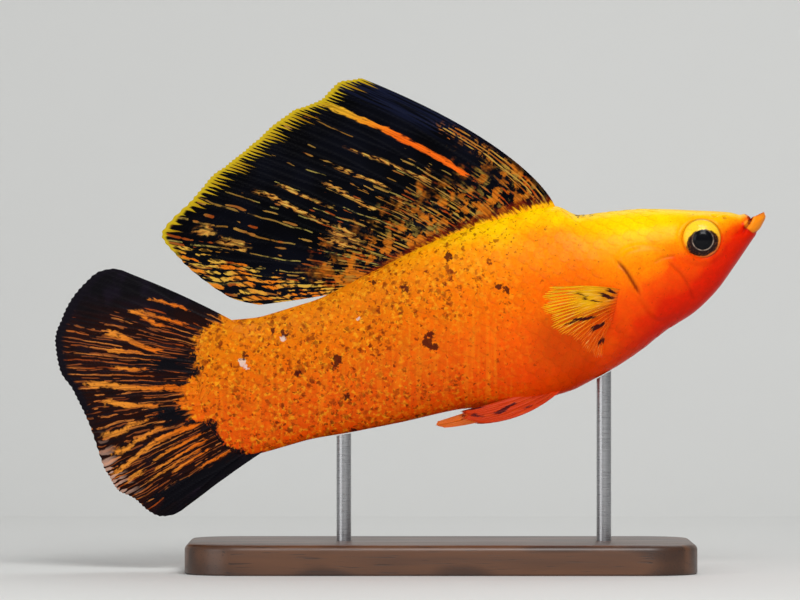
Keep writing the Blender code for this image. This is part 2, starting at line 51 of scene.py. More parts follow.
# distance and height of the top, distance, height and half-width of the side,
# distance and height of the bottom, squareness of the back and of the belly
BODY_SECTIONS = np.array((
    (4.6, 0.3, 4.6, 0.0, 0.5, 3.4, -0.2, 2.0, 2.0),           # back of the open mouth
    (3.4, 0.8, 3.4, 0.3, 1.3, 2.0, 0.2, 2.0, 2.0),
    (2.3, 1.25, 2.4, 0.7, 2.0, 0.0, 0.75, 2.0, 2.0),          # inner side of the lips
    (1.6, 1.7, 1.2, 1.12, 2.45, -1.0, 1.46, 2.0, 2.0),        # crest of the lips
    (1.9, 2.05, 2.4, 0.2, 2.9, -1.12, 0.72, 2.1, 2.1),        # front of the lips
    (2.6, 2.15, 3.3, -0.6, 3.15, 0.3, -0.95, 2.4, 2.2),       # groove behind the lips
    (3.8, 2.85, 4.4, -0.7, 3.9, 2.2, -2.45, 2.6, 2.2),        # snout and chin
    (5.8, 3.65, 6.4, -0.4, 4.7, 5.3, -4.95, 2.8, 2.2),
    (9.2, 4.85, 9.6, -0.2, 5.35, 9.6, -8.15, 2.8, 2.2),       # eyes
    (13.0, 6.2, 13.2, -0.8, 5.85, 13.8, -10.2, 2.6, 2.1),     # cheek
    (17.5, 7.55, 17.8, -1.6, 6.2, 18.2, -11.4, 2.4, 2.1),     # gill covers
    (22.0, 8.45, 22.4, -2.2, 6.4, 23.0, -13.25, 2.3, 2.1),    # shoulder
    (25.8, 9.2, 26.2, -2.6, 6.45, 27.2, -14.5, 2.2, 2.0),
    (28.8, 11.5, 29.6, -2.8, 6.35, 31.0, -15.3, 2.0, 2.0),    # first ray of the dorsal fin
    (33.0, 12.0, 34.0, -2.8, 6.1, 35.0, -15.9, 2.0, 2.0),
    (40.0, 12.15, 40.0, -2.6, 5.6, 40.0, -15.9, 2.0, 2.0),    # vent
    (46.0, 11.95, 46.0, -2.2, 5.0, 46.0, -14.9, 2.0, 2.0),
    (52.0, 11.15, 52.0, -1.8, 4.4, 52.0, -13.6, 2.0, 2.0),
    (60.0, 9.75, 60.0, -1.5, 3.6, 60.0, -13.0, 2.0, 2.0),     # last ray of the dorsal fin
    (68.0, 8.5, 68.0, -1.3, 2.9, 68.0, -12.2, 2.0, 2.0),
    (75.0, 8.5, 75.0, -1.2, 2.3, 75.0, -11.4, 2.0, 2.0),      # thinnest of the tail stalk
    (81.0, 9.4, 81.0, -1.0, 1.7, 81.0, -11.3, 2.0, 2.0),
    (84.3, 9.1, 84.6, -1.0, 1.1, 84.3, -10.8, 2.0, 2.0),
    (86.7, 6.8, 87.1, -1.2, 0.62, 86.8, -8.8, 2.0, 2.0),
    (88.0, 2.0, 88.2, -1.5, 0.3, 88.1, -5.2, 2.0, 2.0),       # rounded end under the tail rays
))
SKIN_INSET = 0.1                           # the scales lie over the skin by about this
LIP_RINGS = 40                             # enough rings to reach over the lips
RING_STEP = 0.24                           # between the rings of the head, doubled behind it
HEAD_END = 25.0
RINGS_PER_SECTION = 7
FINE_STEPS, FINE_TURNS = 4000, 1440        # of the loft, before it is spaced evenly
SIDES = 256
BEHIND_LIPS = 5                            # the first section behind the lips
EYE = (9.4, 4.85, 0.3)
EYE_RADIUS = 2.9
GILL_COVER_EDGE = (
    (14.7, -0.6), (17.6, 1.6), (21.0, 1.9), (22.4, -0.2), (21.6, -4.3), (19.3, -9.4), (14.6, -8.9),
    (13.3, -5.2),
)
GILL_SLIT = ((22.8, 1.7), (22.3, 0.6), (21.6, -1.2), (21.1, -3.1), (20.6, -5.2))
JAW_FOLD = ((1.3, 1.0), (1.9, 0.4), (2.6, -0.1), (3.4, -0.9), (4.4, -2.0))
LIP_FOLD = ((2.6, 0.1), (2.05, -0.65), (1.45, -1.2), (0.8, -1.35), (0.2, -1.3))
CHEEK_FOLDS = (
    ((14.9, -2.0), (13.8, -4.0), (13.3, -6.0), (13.1, -7.9)), ((17.0, -0.9), (15.6, -0.7), (14.2, -0.9)),
)
NOSTRILS = ((5.0, 2.35, 0.34), (6.5, 3.0, 0.26))


def to_world(points):
    """Fish frame in millimetres to the frame of the model in metres."""
    points = np.asarray(points, float) * MM
    behind, aside, over = points[..., 0], points[..., 1], points[..., 2]
    turned = np.stack(
        [-behind * math.cos(PITCH) - over * math.sin(PITCH), aside,
         -behind * math.sin(PITCH) + over * math.cos(PITCH)], axis=-1,
    )
    return turned + MOUTH


def eased(knots, values, at):
    """Monotone cubic through the values, so that an outline is smooth and never overshoots."""
    knots, values = np.asarray(knots, float), np.asarray(values, float)
    step = np.diff(knots)
    slope = np.diff(values) / step
    inner = np.zeros(len(knots))
    total = step[:-1] + step[1:]
    with np.errstate(divide="ignore", invalid="ignore"):
        mean = 3 * total / ((total + step[1:]) / slope[:-1] + (total + step[:-1]) / slope[1:])
    inner[1:-1] = np.where(slope[:-1] * slope[1:] > 0, mean, 0.0)
    inner[0], inner[-1] = slope[0], slope[-1]
    at = np.clip(np.asarray(at, float), knots[0], knots[-1])
    k = np.clip(np.searchsorted(knots, at, side="right") - 1, 0, len(step) - 1)
    f = (at - knots[k]) / step[k]
    return (
        values[k] * (1 + 2 * f) * (1 - f) ** 2
        + inner[k] * step[k] * f * (1 - f) ** 2
        + values[k + 1] * f * f * (3 - 2 * f)
        + inner[k + 1] * step[k] * f * f * (f - 1)
    )


def smooth(value, low, high):
    """0 below low, 1 above high, and an even slope between."""
    t = np.clip((np.asarray(value, float) - low) / (high - low), 0.0, 1.0)
    return t * t * (3 - 2 * t)


def bell(value, width):
    return np.exp(-((value / width) ** 2))


def smooth_curve(points, closed, steps=8):
    """A curve through the points."""
    points = np.asarray(points, float)
    if closed:
        ring = np.concatenate([points[-1:], points, points[:2]])
    else:
        ring = np.concatenate([2 * points[:1] - points[1:2], points, 2 * points[-1:] - points[-2:-1]])
    curve = []
    for a, b, c, d in zip(ring, ring[1:], ring[2:], ring[3:]):
        bend, twist = 2 * a - 5 * b + 4 * c - d, 3 * b - a - 3 * c + d
        for t in np.arange(steps) / steps:
            curve.append(0.5 * (2 * b + (c - a) * t + bend * t**2 + twist * t**3))
    if not closed:
        curve.append(points[-1])
    return np.array(curve)


def distance_to(curve, x, z, closed):
    """Distance of each point to the curve, and whether a closed one holds it."""
    starts = curve if closed else curve[:-1]
    ends = np.roll(curve, -1, axis=0) if closed else curve[1:]
    nearest = np.full(x.shape, 1e9)
    held = np.zeros(x.shape, bool)
    for (ax, az), (bx, bz) in zip(starts, ends):
        dx, dz = bx - ax, bz - az
        t = np.clip(((x - ax) * dx + (z - az) * dz) / (dx * dx + dz * dz), 0, 1)
        nearest = np.minimum(nearest, np.hypot(x - ax - t * dx, z - az - t * dz))
        if abs(dz) > 1e-9:
            crosses = ((az > z) != (bz > z)) & (x < ax + (z - az) * dx / dz)
            held ^= crosses
    return nearest, held


def body_grid():
    """The smooth body as rings of points that are evenly spaced round the fish from the ridge of the back."""
    table = BODY_SECTIONS
    sections = np.arange(len(table))
    fine = np.linspace(0, len(table) - 1, FINE_STEPS)
    side = eased(sections, table[:, 2], fine)
    spacing = RING_STEP * (1 + smooth(side, HEAD_END, HEAD_END + 5))
    least = (len(table) - 1) / FINE_STEPS * RINGS_PER_SECTION
    pace = np.maximum(np.abs(np.gradient(side)) / spacing, least)
    walked = np.concatenate([[0], np.cumsum(pace)[:-1]])
    at = np.interp(np.linspace(0, walked[-1], int(walked[-1]) + 1), walked, fine)
    columns = [eased(sections, table[:, i], at)[:, None] for i in range(table.shape[1])]
    top_x, top_z, side_x, side_z, half, low_x, low_z, back, belly = columns
    angle = np.linspace(0.5 * math.pi, 2.5 * math.pi, FINE_TURNS, endpoint=False)[None, :]
    across, up = np.cos(angle), np.sin(angle)
    power = 2 / np.where(up >= 0, back, belly)
    share = np.abs(up) ** power
    end_x = np.where(up >= 0, top_x, low_x)
    end_z = np.where(up >= 0, top_z, low_z)
    aside = -np.sign(across) * np.abs(across) ** power * half
    rings = np.stack([side_x + (end_x - side_x) * share, aside, side_z + (end_z - side_z) * share], axis=-1)
    even = np.zeros((len(at), SIDES, 3))
    for i, ring in enumerate(rings):
        loop = np.concatenate([ring, ring[:1]])
        run = np.concatenate([[0], np.cumsum(np.linalg.norm(np.diff(loop, axis=0), axis=1))])
        stops = np.linspace(0, run[-1], SIDES, endpoint=False)
        for axis in range(3):
            even[i, :, axis] = np.interp(stops, run, loop[:, axis])
    return even


def grid_normals(grid, wraps):
    """Outward normals of a grid of points."""
    along = np.gradient(grid, axis=0)
    if wraps:
        across = (np.roll(grid, -1, axis=1) - np.roll(grid, 1, axis=1)) / 2
    else:
        across = np.gradient(grid, axis=1)
    normal = np.cross(along, across)
    return normal / np.maximum(np.linalg.norm(normal, axis=-1, keepdims=True), 1e-9)


def relief(points):
    """How far the folds of the head stand over the smooth body, in millimetres, and how much shade is painted
    into its creases.
    """
    x, y, z = points[..., 0], points[..., 1], points[..., 2]
    raised, crease_shade = np.zeros(x.shape), np.zeros(x.shape)
    flank = np.abs(y) > 2.2

    def away_from(fold, shift=0.0):
        return distance_to(smooth_curve(fold, False), x + shift, z, False)[0]

    gap, held = distance_to(smooth_curve(GILL_COVER_EDGE, True), x, z, True)
    inside = np.where(held, gap, -gap)
    rear = 0.15 + 0.85 * smooth(x, 16.5, 20.5)
    raised += 0.2 * rear * smooth(inside, -0.1, 0.7)
    raised -= 0.09 * rear * bell(inside + 0.2, 0.3)
    gap = away_from(GILL_SLIT)
    open_part = smooth(z, 1.9, -0.6) * smooth(z, -5.6, -3.8)
    raised -= 0.32 * open_part * bell(gap, 0.28)
    crease_shade += 1.1 * open_part * bell(gap, 0.12 + 0.12 * open_part)
    near_eye = np.hypot(x - EYE[0], z - EYE[2])
    raised += flank * 0.13 * bell(near_eye - 3.4, 0.4)
    raised -= flank * 0.9 * (1 - smooth(near_eye, 2.5, 2.95))
    raised -= flank * 0.06 * bell(near_eye - 4.3, 0.4) * smooth(-z, -1.5, 2.0)
    crease_shade += flank * (0.15 + 0.25 * smooth(z, -1.0, 2.0)) * bell(near_eye - 2.97, 0.14)
    gap = away_from(JAW_FOLD)
    near_gape = smooth(x, 3.6, 2.2)
    raised -= 0.2 * near_gape * bell(gap, 0.24)
    raised += 0.06 * near_gape * bell(gap - 0.6, 0.35)
    crease_shade += 0.8 * bell(gap, 0.2) * near_gape
    gap = away_from(LIP_FOLD)
    raised -= (0.05 + 0.12 * smooth(x, -0.7, 0.6)) * bell(gap, 0.26)
    crease_shade += 0.3 * bell(gap, 0.2)
    for fold in CHEEK_FOLDS:
        gap = away_from(fold)
        raised -= 0.09 * bell(gap, 0.24)
        crease_shade += 0.3 * bell(gap, 0.2)
    # The ridge in front of the cheek's long fold.
    raised += 0.05 * bell(away_from(CHEEK_FOLDS[0], 0.7), 0.45)
    for behind, aside, radius in NOSTRILS:
        away = np.hypot(x - behind, z - aside)
        raised += flank * (0.08 * bell(away - radius - 0.12, 0.16) - 0.4 * (1 - smooth(away, 0.1, radius)))
        crease_shade += 0.5 * flank * (1 - smooth(away, 0.1, radius))
    return raised, np.clip(crease_shade, 0, 1)


def piece(name, points, faces, material, stands_for=(), attributes=(), sharp=None):
    """One mesh of the model from points in the fish frame, riding on the one body."""
    mesh = bpy.data.meshes.new(name)
    mesh.from_pydata(to_world(points).tolist(), [], [list(f) for f in faces])
    for key, values in dict(attributes).items():
        values = np.asarray(values, np.float32)
        kind = "FLOAT" if values.ndim == 1 else "FLOAT_VECTOR"
        layer = mesh.attributes.new(key, kind, "POINT")
        layer.data.foreach_set("value" if values.ndim == 1 else "vector", values.ravel())
    mesh.materials.append(material)
    mesh.shade_smooth()
    if sharp is not None:
        mesh.set_sharp_from_angle(angle=math.radians(sharp))
    mesh.validate()
    made = bpy.data.objects.new(name, mesh)
    bpy.context.scene.collection.objects.link(made)
    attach(made, "root")
    if stands_for:
        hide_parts(*stands_for)
    return made


class Shade:
    """What a shader node gives out. Sums, differences and products with it make the math nodes."""

    def __init__(self, socket):
        self.socket = socket
        self.tree = socket.id_data

    def __add__(self, other):
        return calc("ADD", self, other)

    def __sub__(self, other):
        return calc("SUBTRACT", self, other)

    def __rsub__(self, other):
        return calc("SUBTRACT", other, self)

    def __mul__(self, other):
        return calc("MULTIPLY", self, other)

    def __truediv__(self, other):
        return calc("DIVIDE", self, other)

    def __abs__(self):
        return calc("ABSOLUTE", self)


def out(made, key=0):
    return Shade(made.outputs[key])


def link(shade, socket):
    shade.tree.links.new(shade.socket, socket)


def node(kind, inputs=(), tree=None, **settings):
    """A node with its inputs set or linked, in the tree of whatever is linked to it."""
    inputs = dict(inputs)
    if tree is None:
        tree = next(value.tree for value in inputs.values() if isinstance(value, Shade))
    made = tree.nodes.new(kind)
    for key, value in settings.items():
        setattr(made, key, value)
    for key, value in inputs.items():
        if isinstance(value, Shade):
            link(value, made.inputs[key])
        else:
            made.inputs[key].default_value = value
    return made


def axes(vector):
    """The three numbers of a vector."""
    parts = node("ShaderNodeSeparateXYZ", {0: vector})
    return [out(parts, k) for k in range(3)]


def calc(operation, a, b=0.0):
    return out(node("ShaderNodeMath", {0: a, 1: b}, operation=operation))


def length(dx, dz):
    return calc("SQRT", dx * dx + dz * dz)


def highest(masks):
    """The highest of several masks."""
    total = masks[0]
    for mask in masks[1:]:
        total = calc("MAXIMUM", total, mask)
    return total


def window(value, low, high, start=0.0, end=1.0):
    """A smooth step from start to end as the value goes from low to high."""
    places = {"Value": value, "From Min": low, "From Max": high, "To Min": start, "To Max": end}
    return out(node("ShaderNodeMapRange", places, interpolation_type="SMOOTHSTEP"), "Result")


def blend(share, a, b, blend_type="MIX"):
    return out(node("ShaderNodeMix", {0: share, 6: a, 7: b}, data_type="RGBA", blend_type=blend_type), 2)


def ramp(value, stops):
    """Colours along a value. Each stop is its place and its colour."""
    made = node("ShaderNodeValToRGB", {"Fac": value})
    elements = made.color_ramp.elements
    while len(elements) < len(stops):
        elements.new(0.5)
    for element, (place, colour) in zip(elements, stops):
        element.position = place
        element.color = colour
    return out(made, "Color")


def rgb(red, green, blue):
    """A screen colour of 0 to 255 as the shader's linear one."""
    linear = [((c / 255 + 0.055) / 1.055) ** 2.4 if c > 10 else c / 255 / 12.92 for c in (red, green, blue)]
    return (*linear, 1.0)


def stretched(vector, factors, offset=(0.0, 0.0, 0.0)):
    return out(node("ShaderNodeMapping", {"Vector": vector, "Scale": factors, "Location": offset}))


def noise(vector, scale, detail=2.0, roughness=0.5):
    settings = {"Vector": vector, "Scale": scale, "Detail": detail, "Roughness": roughness}
    return out(node("ShaderNodeTexNoise", settings), "Fac")


def group(name, inputs, outputs):
    """An empty shader node group, what comes into it by name, and the sockets that go out of it."""
    made = bpy.data.node_groups.new(name, "ShaderNodeTree")
    for label, kind, value in inputs:
        socket = made.interface.new_socket(label, in_out="INPUT", socket_type="NodeSocket" + kind)
        if value is not None:
            socket.default_value = value
    for label, kind in outputs:
        made.interface.new_socket(label, in_out="OUTPUT", socket_type="NodeSocket" + kind)
    given, sent = made.nodes.new("NodeGroupInput"), made.nodes.new("NodeGroupOutput")
    return made, {label: out(given, label) for label, kind, value in inputs}, sent.inputs


def attribute(tree, name, output="Vector"):
    made = node("ShaderNodeAttribute", tree=tree, attribute_name=name, attribute_type="GEOMETRY")
    return out(made, output)


def dress(shader, colour, height, strength, depth):
    """Links a colour to a shader, and a height as bump whose full depth is in metres."""
    bump = node("ShaderNodeBump", {"Height": height, "Strength": strength, "Distance": depth})
    link(out(bump), shader.inputs["Normal"])
    link(colour, shader.inputs["Base Color"])


def shaded(name, roughness, coat=0.0, coat_roughness=0.05, specular=0.5):
    """A material with its Principled shader and its node tree."""
    made = bpy.data.materials.new(name)
    made.use_nodes = True
    shader = made.node_tree.nodes["Principled BSDF"]
    shader.inputs["Roughness"].default_value = roughness
    shader.inputs["Specular IOR Level"].default_value = specular
    shader.inputs["Coat Weight"].default_value = coat
    shader.inputs["Coat Roughness"].default_value = coat_roughness
    return made, made.node_tree, shader


# The markings are shared by the skin and the scales: yellow along the nape, red-orange on the throat and
# belly, orange on the flanks, and brown dots that crowd toward the tail.
BOLD_SPOTS = (                             # distance behind the mouth, height, radius
    (52.3, -1.6, 0.62), (53.0, -2.6, 0.85), (52.4, -3.5, 0.6), (66.8, -1.1, 0.85), (67.4, -1.9, 0.5),
    (46.4, 8.9, 0.6), (53.8, 6.3, 0.5), (39.6, 1.5, 0.5), (40.4, 2.2, 0.35), (66.9, -6.7, 0.5),
    (72.9, -1.3, 0.45), (67.5, -11.9, 0.4), (79.9, 3.6, 0.45), (73.2, 5.2, 0.4), (72.8, 4.6, 0.3),
    (74.6, 6.0, 0.4), (58.2, 8.6, 0.4), (26.0, 9.15, 0.2), (25.1, 8.95, 0.2), (23.9, 8.7, 0.18),
)
QUIET_AREAS = ((46.5, -4.5, 4.0), (53.5, -4.0, 5.0))
GAPE_SHADE_SPOTS = ((1.5, 1.3, 0.34), (1.55, 0.9, 0.32), (1.78, 0.5, 0.2), (1.72, 1.85, 0.16))
PALE_SPOTS = ((80.4, 2.7, 0.5), (80.1, 1.9, 0.35), (73.6, 4.3, 0.36), (61.9, 3.8, 0.25))


def near_any(place, spots, soft, wobble):
    """A mask of round spots, each blurred over soft and pushed out of round by wobble."""
    behind, _, over = axes(place)
    masks = []
    for spot_behind, spot_over, radius in spots:
        away = length(behind - spot_behind, over - spot_over)
        masks.append(window(away + wobble, radius - soft, radius + soft, 1.0, 0.0))
    return highest(masks)


markings, marks_in, marks_out = group(
    "fish_markings",
    (("Place", "Vector", None), ("Band", "Float", None)),
    (("Color", "Color"), ("Pigment", "Float")),
)
place_in, band_in = marks_in["Place"], marks_in["Band"]
behind, _, over = axes(place_in)
cloud = noise(place_in, 0.22, 4.0, 0.6)
fine_cloud = noise(place_in, 1.1, 3.0, 0.6)
drift = (cloud - 0.5) * 0.35
band = band_in + drift
head_band = band + window(behind, 8.0, 17.0, -0.02, 0.12)
head_colours = ramp(head_band, (
    (0.0, rgb(214, 26, 0)), (0.3, rgb(222, 36, 1)), (0.55, rgb(240, 84, 3)), (0.8, rgb(254, 162, 3)),
    (1.0, rgb(255, 214, 0)),
))
trunk_colours = ramp(band, (
    (0.0, rgb(238, 60, 1)), (0.3, rgb(238, 86, 2)), (0.6, rgb(240, 114, 4)), (0.85, rgb(250, 152, 4)),
    (1.0, rgb(255, 216, 0)),
))
tail_colours = ramp(band, (
    (0.0, rgb(222, 74, 4)), (0.4, rgb(218, 94, 7)), (0.75, rgb(218, 116, 7)), (1.0, rgb(210, 124, 12)),
))
reach = behind + (cloud - 0.5) * 10.0
flesh = blend(window(reach, 18.0, 30.0), head_colours, trunk_colours)
flesh = blend(window(reach, 32.0, 60.0), flesh, tail_colours)
lips = behind + drift * 6.0
lips = window(lips, 2.9, 1.2) * window(over, 0.2, 1.0)
flesh = blend(lips * 0.85, flesh, rgb(250, 146, 40))
# The lower lip is a bright orange pad that its fold parts from the red chin.
lip_slope = calc("MAXIMUM", behind - 1.5, 0.0) * 1.3
lower_lip = window(over - lip_slope, -1.42, -1.1)
lower_lip *= window(behind, 2.75, 2.35)
lower_lip *= window(over, 1.2, 0.8)
flesh = blend(lower_lip * 0.92, flesh, rgb(255, 150, 30))
# Painted shade: dark red spots fill the opening of the mouth between the lips.
gape_shade = near_any(place_in, GAPE_SHADE_SPOTS, 0.14, 0.0)
flesh = blend(gape_shade * 0.85, flesh, rgb(124, 14, 3))
flesh = blend(window(fine_cloud, 0.42, 0.7, 0.0, 0.4), flesh, rgb(255, 186, 60), "SOFT_LIGHT")
pebbled = window(noise(place_in, 3.1, 3.0, 0.6), 0.38, 0.68, 0.0, 0.3)
pebbled *= window(band_in, 0.1, 0.5, 0.4, 1.0)
flesh = blend(pebbled, flesh, rgb(150, 66, 10), "SOFT_LIGHT")
# Small dots: each cell of the texture holds one, of its own size. They crowd toward the tail and the back.
grit = noise(place_in, 2.6, 3.0, 0.6) - 0.35
crowd = window(behind + band_in * 16.0, 36.0, 62.0)
crowd *= window(cloud, 0.38, 0.58, 0.6, 1.0)
quiet = near_any(place_in, QUIET_AREAS, 3.0, 0.0)
crowd *= window(quiet, 0.0, 1.0, 1.0, 0.45)
spread = out(node("ShaderNodeTexNoise", {"Vector": place_in, "Scale": 1.7, "Detail": 1.0}), "Color")
spread = out(node("ShaderNodeVectorMath", {0: spread, 1: (0.5, 0.5, 0.5)}, operation="SUBTRACT"))
pushed = out(
    node("ShaderNodeVectorMath", {0: spread, 1: (1.1, 1.1, 1.1), 2: place_in}, operation="MULTIPLY_ADD"),
)
layers = []
for size, share in ((0.66, 0.46), (1.05, 0.46), (1.8, 0.28)):
    cells = node(
        "ShaderNodeTexVoronoi", {"Vector": pushed, "Scale": 1.0 / size, "Randomness": 1.0}, feature="F1",
    )
    chance = node("ShaderNodeSeparateColor", {0: out(cells, "Color")})
    radius = out(chance) * share * crowd
    wobbly = out(cells, "Distance") + grit * 0.3
    hit = window(wobbly - radius, -0.02, 0.2, 1.0, 0.0)
    hit *= window(out(chance, 1), 0.0, 1.0, 0.5, 1.0)
    layers.append(hit)
dots = highest(layers)
flecks = window(noise(place_in, 1.5, 2.0), 0.5, 0.68)
flecks *= crowd * 0.42
flesh = blend(flecks, flesh, rgb(252, 188, 36))
plumb = (math.cos(PITCH), 0.0, math.sin(PITCH))
upright = out(node("ShaderNodeVectorMath", {0: place_in, 1: plumb}, operation="DOT_PRODUCT"), "Value")
bars = noise(out(node("ShaderNodeCombineXYZ", {0: upright * 1.4, 1: band_in * 2.0})), 1.0, 2.0)
bars = window(bars, 0.45, 0.7) * window(behind, 40.0, 44.0)
bars *= window(band_in, 0.75, 0.55)
flesh = blend(bars * 0.16, flesh, rgb(252, 176, 30))
ragged = (noise(place_in, 2.2, 3.0) - 0.5) * 2.2
bold = near_any(place_in, BOLD_SPOTS, 0.16, ragged)
pale = near_any(place_in, PALE_SPOTS, 0.12, ragged)
flesh = blend(dots * window(fine_cloud, 0.3, 0.6, 0.6, 0.95), flesh, rgb(112, 36, 3))
flesh = blend(pale * 0.85, flesh, rgb(222, 196, 184))
flesh = blend(bold * 0.92, flesh, rgb(62, 8, 8))
# The flesh frays into the black of the tail fin, last of all in the middle of its root.
ragged_end = (noise(place_in, 0.9, 4.0, 0.65) - 0.5) * 9.0
from_middle = abs(over + 0.8)
stalk_end = behind + ragged_end + window(from_middle, 1.6, 4.2, -4.5, 0.0)
stalk_end += window(over, 8.0, 10.5, 0.0, 4.5)
stalk_end += window(over, -7.0, -11.5, 0.0, 4.0)
flesh = blend(window(stalk_end, 86.4, 87.6), flesh, rgb(15, 9, 14))
link(flesh, marks_out["Color"])
link(calc("MAXIMUM", dots, bold), marks_out["Pigment"])


# The fine grain of wet flesh, shared by the skin and the scales.
wet_grain, grain_in, grain_out = group("wet_grain", (("Place", "Vector", None),), (("Height", "Float"),))
grain = noise(grain_in["Place"], 5.0, 4.0, 0.65)
link(grain * 0.6, grain_out["Height"])


def flesh_material(name, roughness, plated):
    """The fish's markings, with the pattern of the scales where plated, and if not the inside of the mouth
    and painted shade in the folds of the head.
    """
    made, tree, shader = shaded(name, roughness, 0.05, 0.25, 0.03)
    place, band = attribute(tree, "place"), attribute(tree, "band", "Fac")
    marks = node("ShaderNodeGroup", {"Place": place, "Band": band}, node_tree=markings)
    colour = out(marks, "Color")
    height = out(node("ShaderNodeGroup", {"Place": place}, node_tree=wet_grain), "Height")
    if plated:
        plate = attribute(tree, "plate")
        _, toward_edge, own_tone = axes(plate)
        rim = window(toward_edge, 0.78, 1.0)
        core = window(toward_edge, 0.45, 0.8, 1.0, 0.0)
        colour = blend(rim * 0.12, colour, rgb(150, 60, 6))
        colour = blend(core * 0.15, colour, rgb(255, 214, 90), "SOFT_LIGHT")
        tone = (own_tone - 0.5) * 0.09
        colour = out(node("ShaderNodeHueSaturation", {"Value": tone + 1.0, "Color": colour}))
        rings = node(
            "ShaderNodeTexWave", {"Vector": plate, "Scale": 5.0, "Distortion": 0.6}, bands_direction="Y",
        )
        height += out(rings, "Fac") * 0.35
    else:
        inner = window(axes(attribute(tree, "mouth"))[0], 0.2, 0.8)
        colour = blend(inner, colour, rgb(150, 16, 10))
        # Painted shade: the gill slit, the rim of the eye socket, the folds of the jaw, lips and cheek and
        # the nostril pits are darkened to dark red.
        colour = blend(attribute(tree, "crease_shade", "Fac") * 0.85, colour, rgb(100, 7, 2))
    link(window(out(marks, "Pigment"), 0.0, 1.0, roughness, roughness + 0.1), shader.inputs["Roughness"])
    dress(shader, colour, height, 0.35, 0.06 * MM)
    return made


body = body_grid()
body_normal = grid_normals(body, True)
if np.sum(body_normal[len(body) // 2, :, 1] * body[len(body) // 2, :, 1]) < 0:
    body_normal = -body_normal
body_raised, body_crease_shade = relief(body)
skin_points = body + body_normal * (body_raised - SKIN_INSET)[..., None]
ring_count = len(body)
ring_low, ring_high = body[..., 2].min(axis=1), body[..., 2].max(axis=1)
body_band = (body[..., 2] - ring_low[:, None]) / (ring_high - ring_low)[:, None]
# Inside the lips the band would follow the small rings, so the colour there is told apart.
throat_rings = int(np.argmin(body[:LIP_RINGS, 0, 0]))
mouth_mask = np.zeros(body.shape)
mouth_mask[:throat_rings, :, 0] = 1.0


def tube_faces(rings, sides):
    faces = []
    for i in range(rings - 1):
        for k in range(sides):
            n = (k + 1) % sides
            faces.append((i * sides + k, i * sides + n, (i + 1) * sides + n, (i + 1) * sides + k))
    return faces


def closed_tube(rings, sides):
    """Faces of rings of points and of the two hubs that follow them, one for each end."""
    faces = tube_faces(rings, sides)
    last, hub = (rings - 1) * sides, rings * sides
    for k in range(sides):
        n = (k + 1) % sides
        faces += [(k, hub, n), (last + n, hub + 1, last + k)]
    return faces


ends = np.array([skin_points[0].mean(axis=0), skin_points[-1].mean(axis=0)])
skin_material = flesh_material("wet_skin", 0.3, plated=False)
piece(
    "skin", np.concatenate([skin_points.reshape(-1, 3), ends]), closed_tube(ring_count, SIDES), skin_material,
    ("head", "jaw_lower", "gill_cover_left", "gill_cover_right", "trunk", "tail_stalk"),
    {
        "place": np.concatenate([body.reshape(-1, 3), ends]),
        "band": np.concatenate([body_band.ravel(), [0.5, 0.5]]),
        "mouth": np.concatenate([mouth_mask.reshape(-1, 3), [[1, 0, 0], [0, 0, 0]]]),
        "crease_shade": np.concatenate([body_crease_shade.ravel(), [0, 0]]),
    },
)

# Scales. Thin horny plates grow out of pockets in the skin in slanting rows, each one overlapping the
# next toward the tail. Each side of the fish is one mesh of plates from the nape to the tail root.
SCALE_STEP = 2.3                           # from one plate to the next in a row
SCALE_ROWS = 11                            # rows between the back and the belly
SCALE_LENGTH = 3.7
SCALE_START = 12.5
SCALE_END = 86.5
SCALE_THICK = 0.06
BARE_SHARE = 0.03                          # of the half-round left without scales at the back and the belly
GILL_CLEAR, EYE_CLEAR = 0.25, 5.5          # from a scale to the gill cover's edge and to the eye
FIRST_SCALE = 10.5                         # no scale reaches nearer the mouth
PLATE_ACROSS, PLATE_ALONG = 8, 9
BAKE_PATCH = 0.003
side_behind = body[:, SIDES // 4, 0]
front_ring = int(np.argmax(side_behind > SCALE_START - 4))


def on_grid(grid, ring, round_share):
    """Points of a grid at a ring number and a share of the way round it."""
    i = np.clip(np.floor(ring).astype(int), 0, len(grid) - 2)
    k = round_share * SIDES
    j = np.floor(k).astype(int)
    f, g = (ring - i)[..., None], (k - j)[..., None]
    j, n = j % SIDES, (j + 1) % SIDES
    return (
        grid[i, j] * (1 - f) * (1 - g) + grid[i + 1, j] * f * (1 - g)
        + grid[i, n] * (1 - f) * g + grid[i + 1, n] * f * g
    )


def slab_faces(columns, line):
    """Faces of two sheets of points, one under the other, and of the rim that joins them."""
    sheet, rows = columns * line, line - 1
    i, j = np.meshgrid(np.arange(columns - 1), np.arange(rows), indexing="ij")
    a = (i * line + j).ravel()
    upper = np.stack([a, a + line, a + line + 1, a + 1], axis=1)
    lower = np.stack([a + sheet, a + 1 + sheet, a + line + 1 + sheet, a + line + sheet], axis=1)
    rim = [c * line for c in range(columns)] + [(columns - 1) * line + r for r in range(1, line)]
    rim = np.array(rim + [c * line + rows for c in range(columns - 2, -1, -1)] + list(range(rows - 1, 0, -1)))
    after = np.roll(rim, -1)
    return np.concatenate([upper, lower, np.stack([after, rim, rim + sheet, after + sheet], axis=1)])


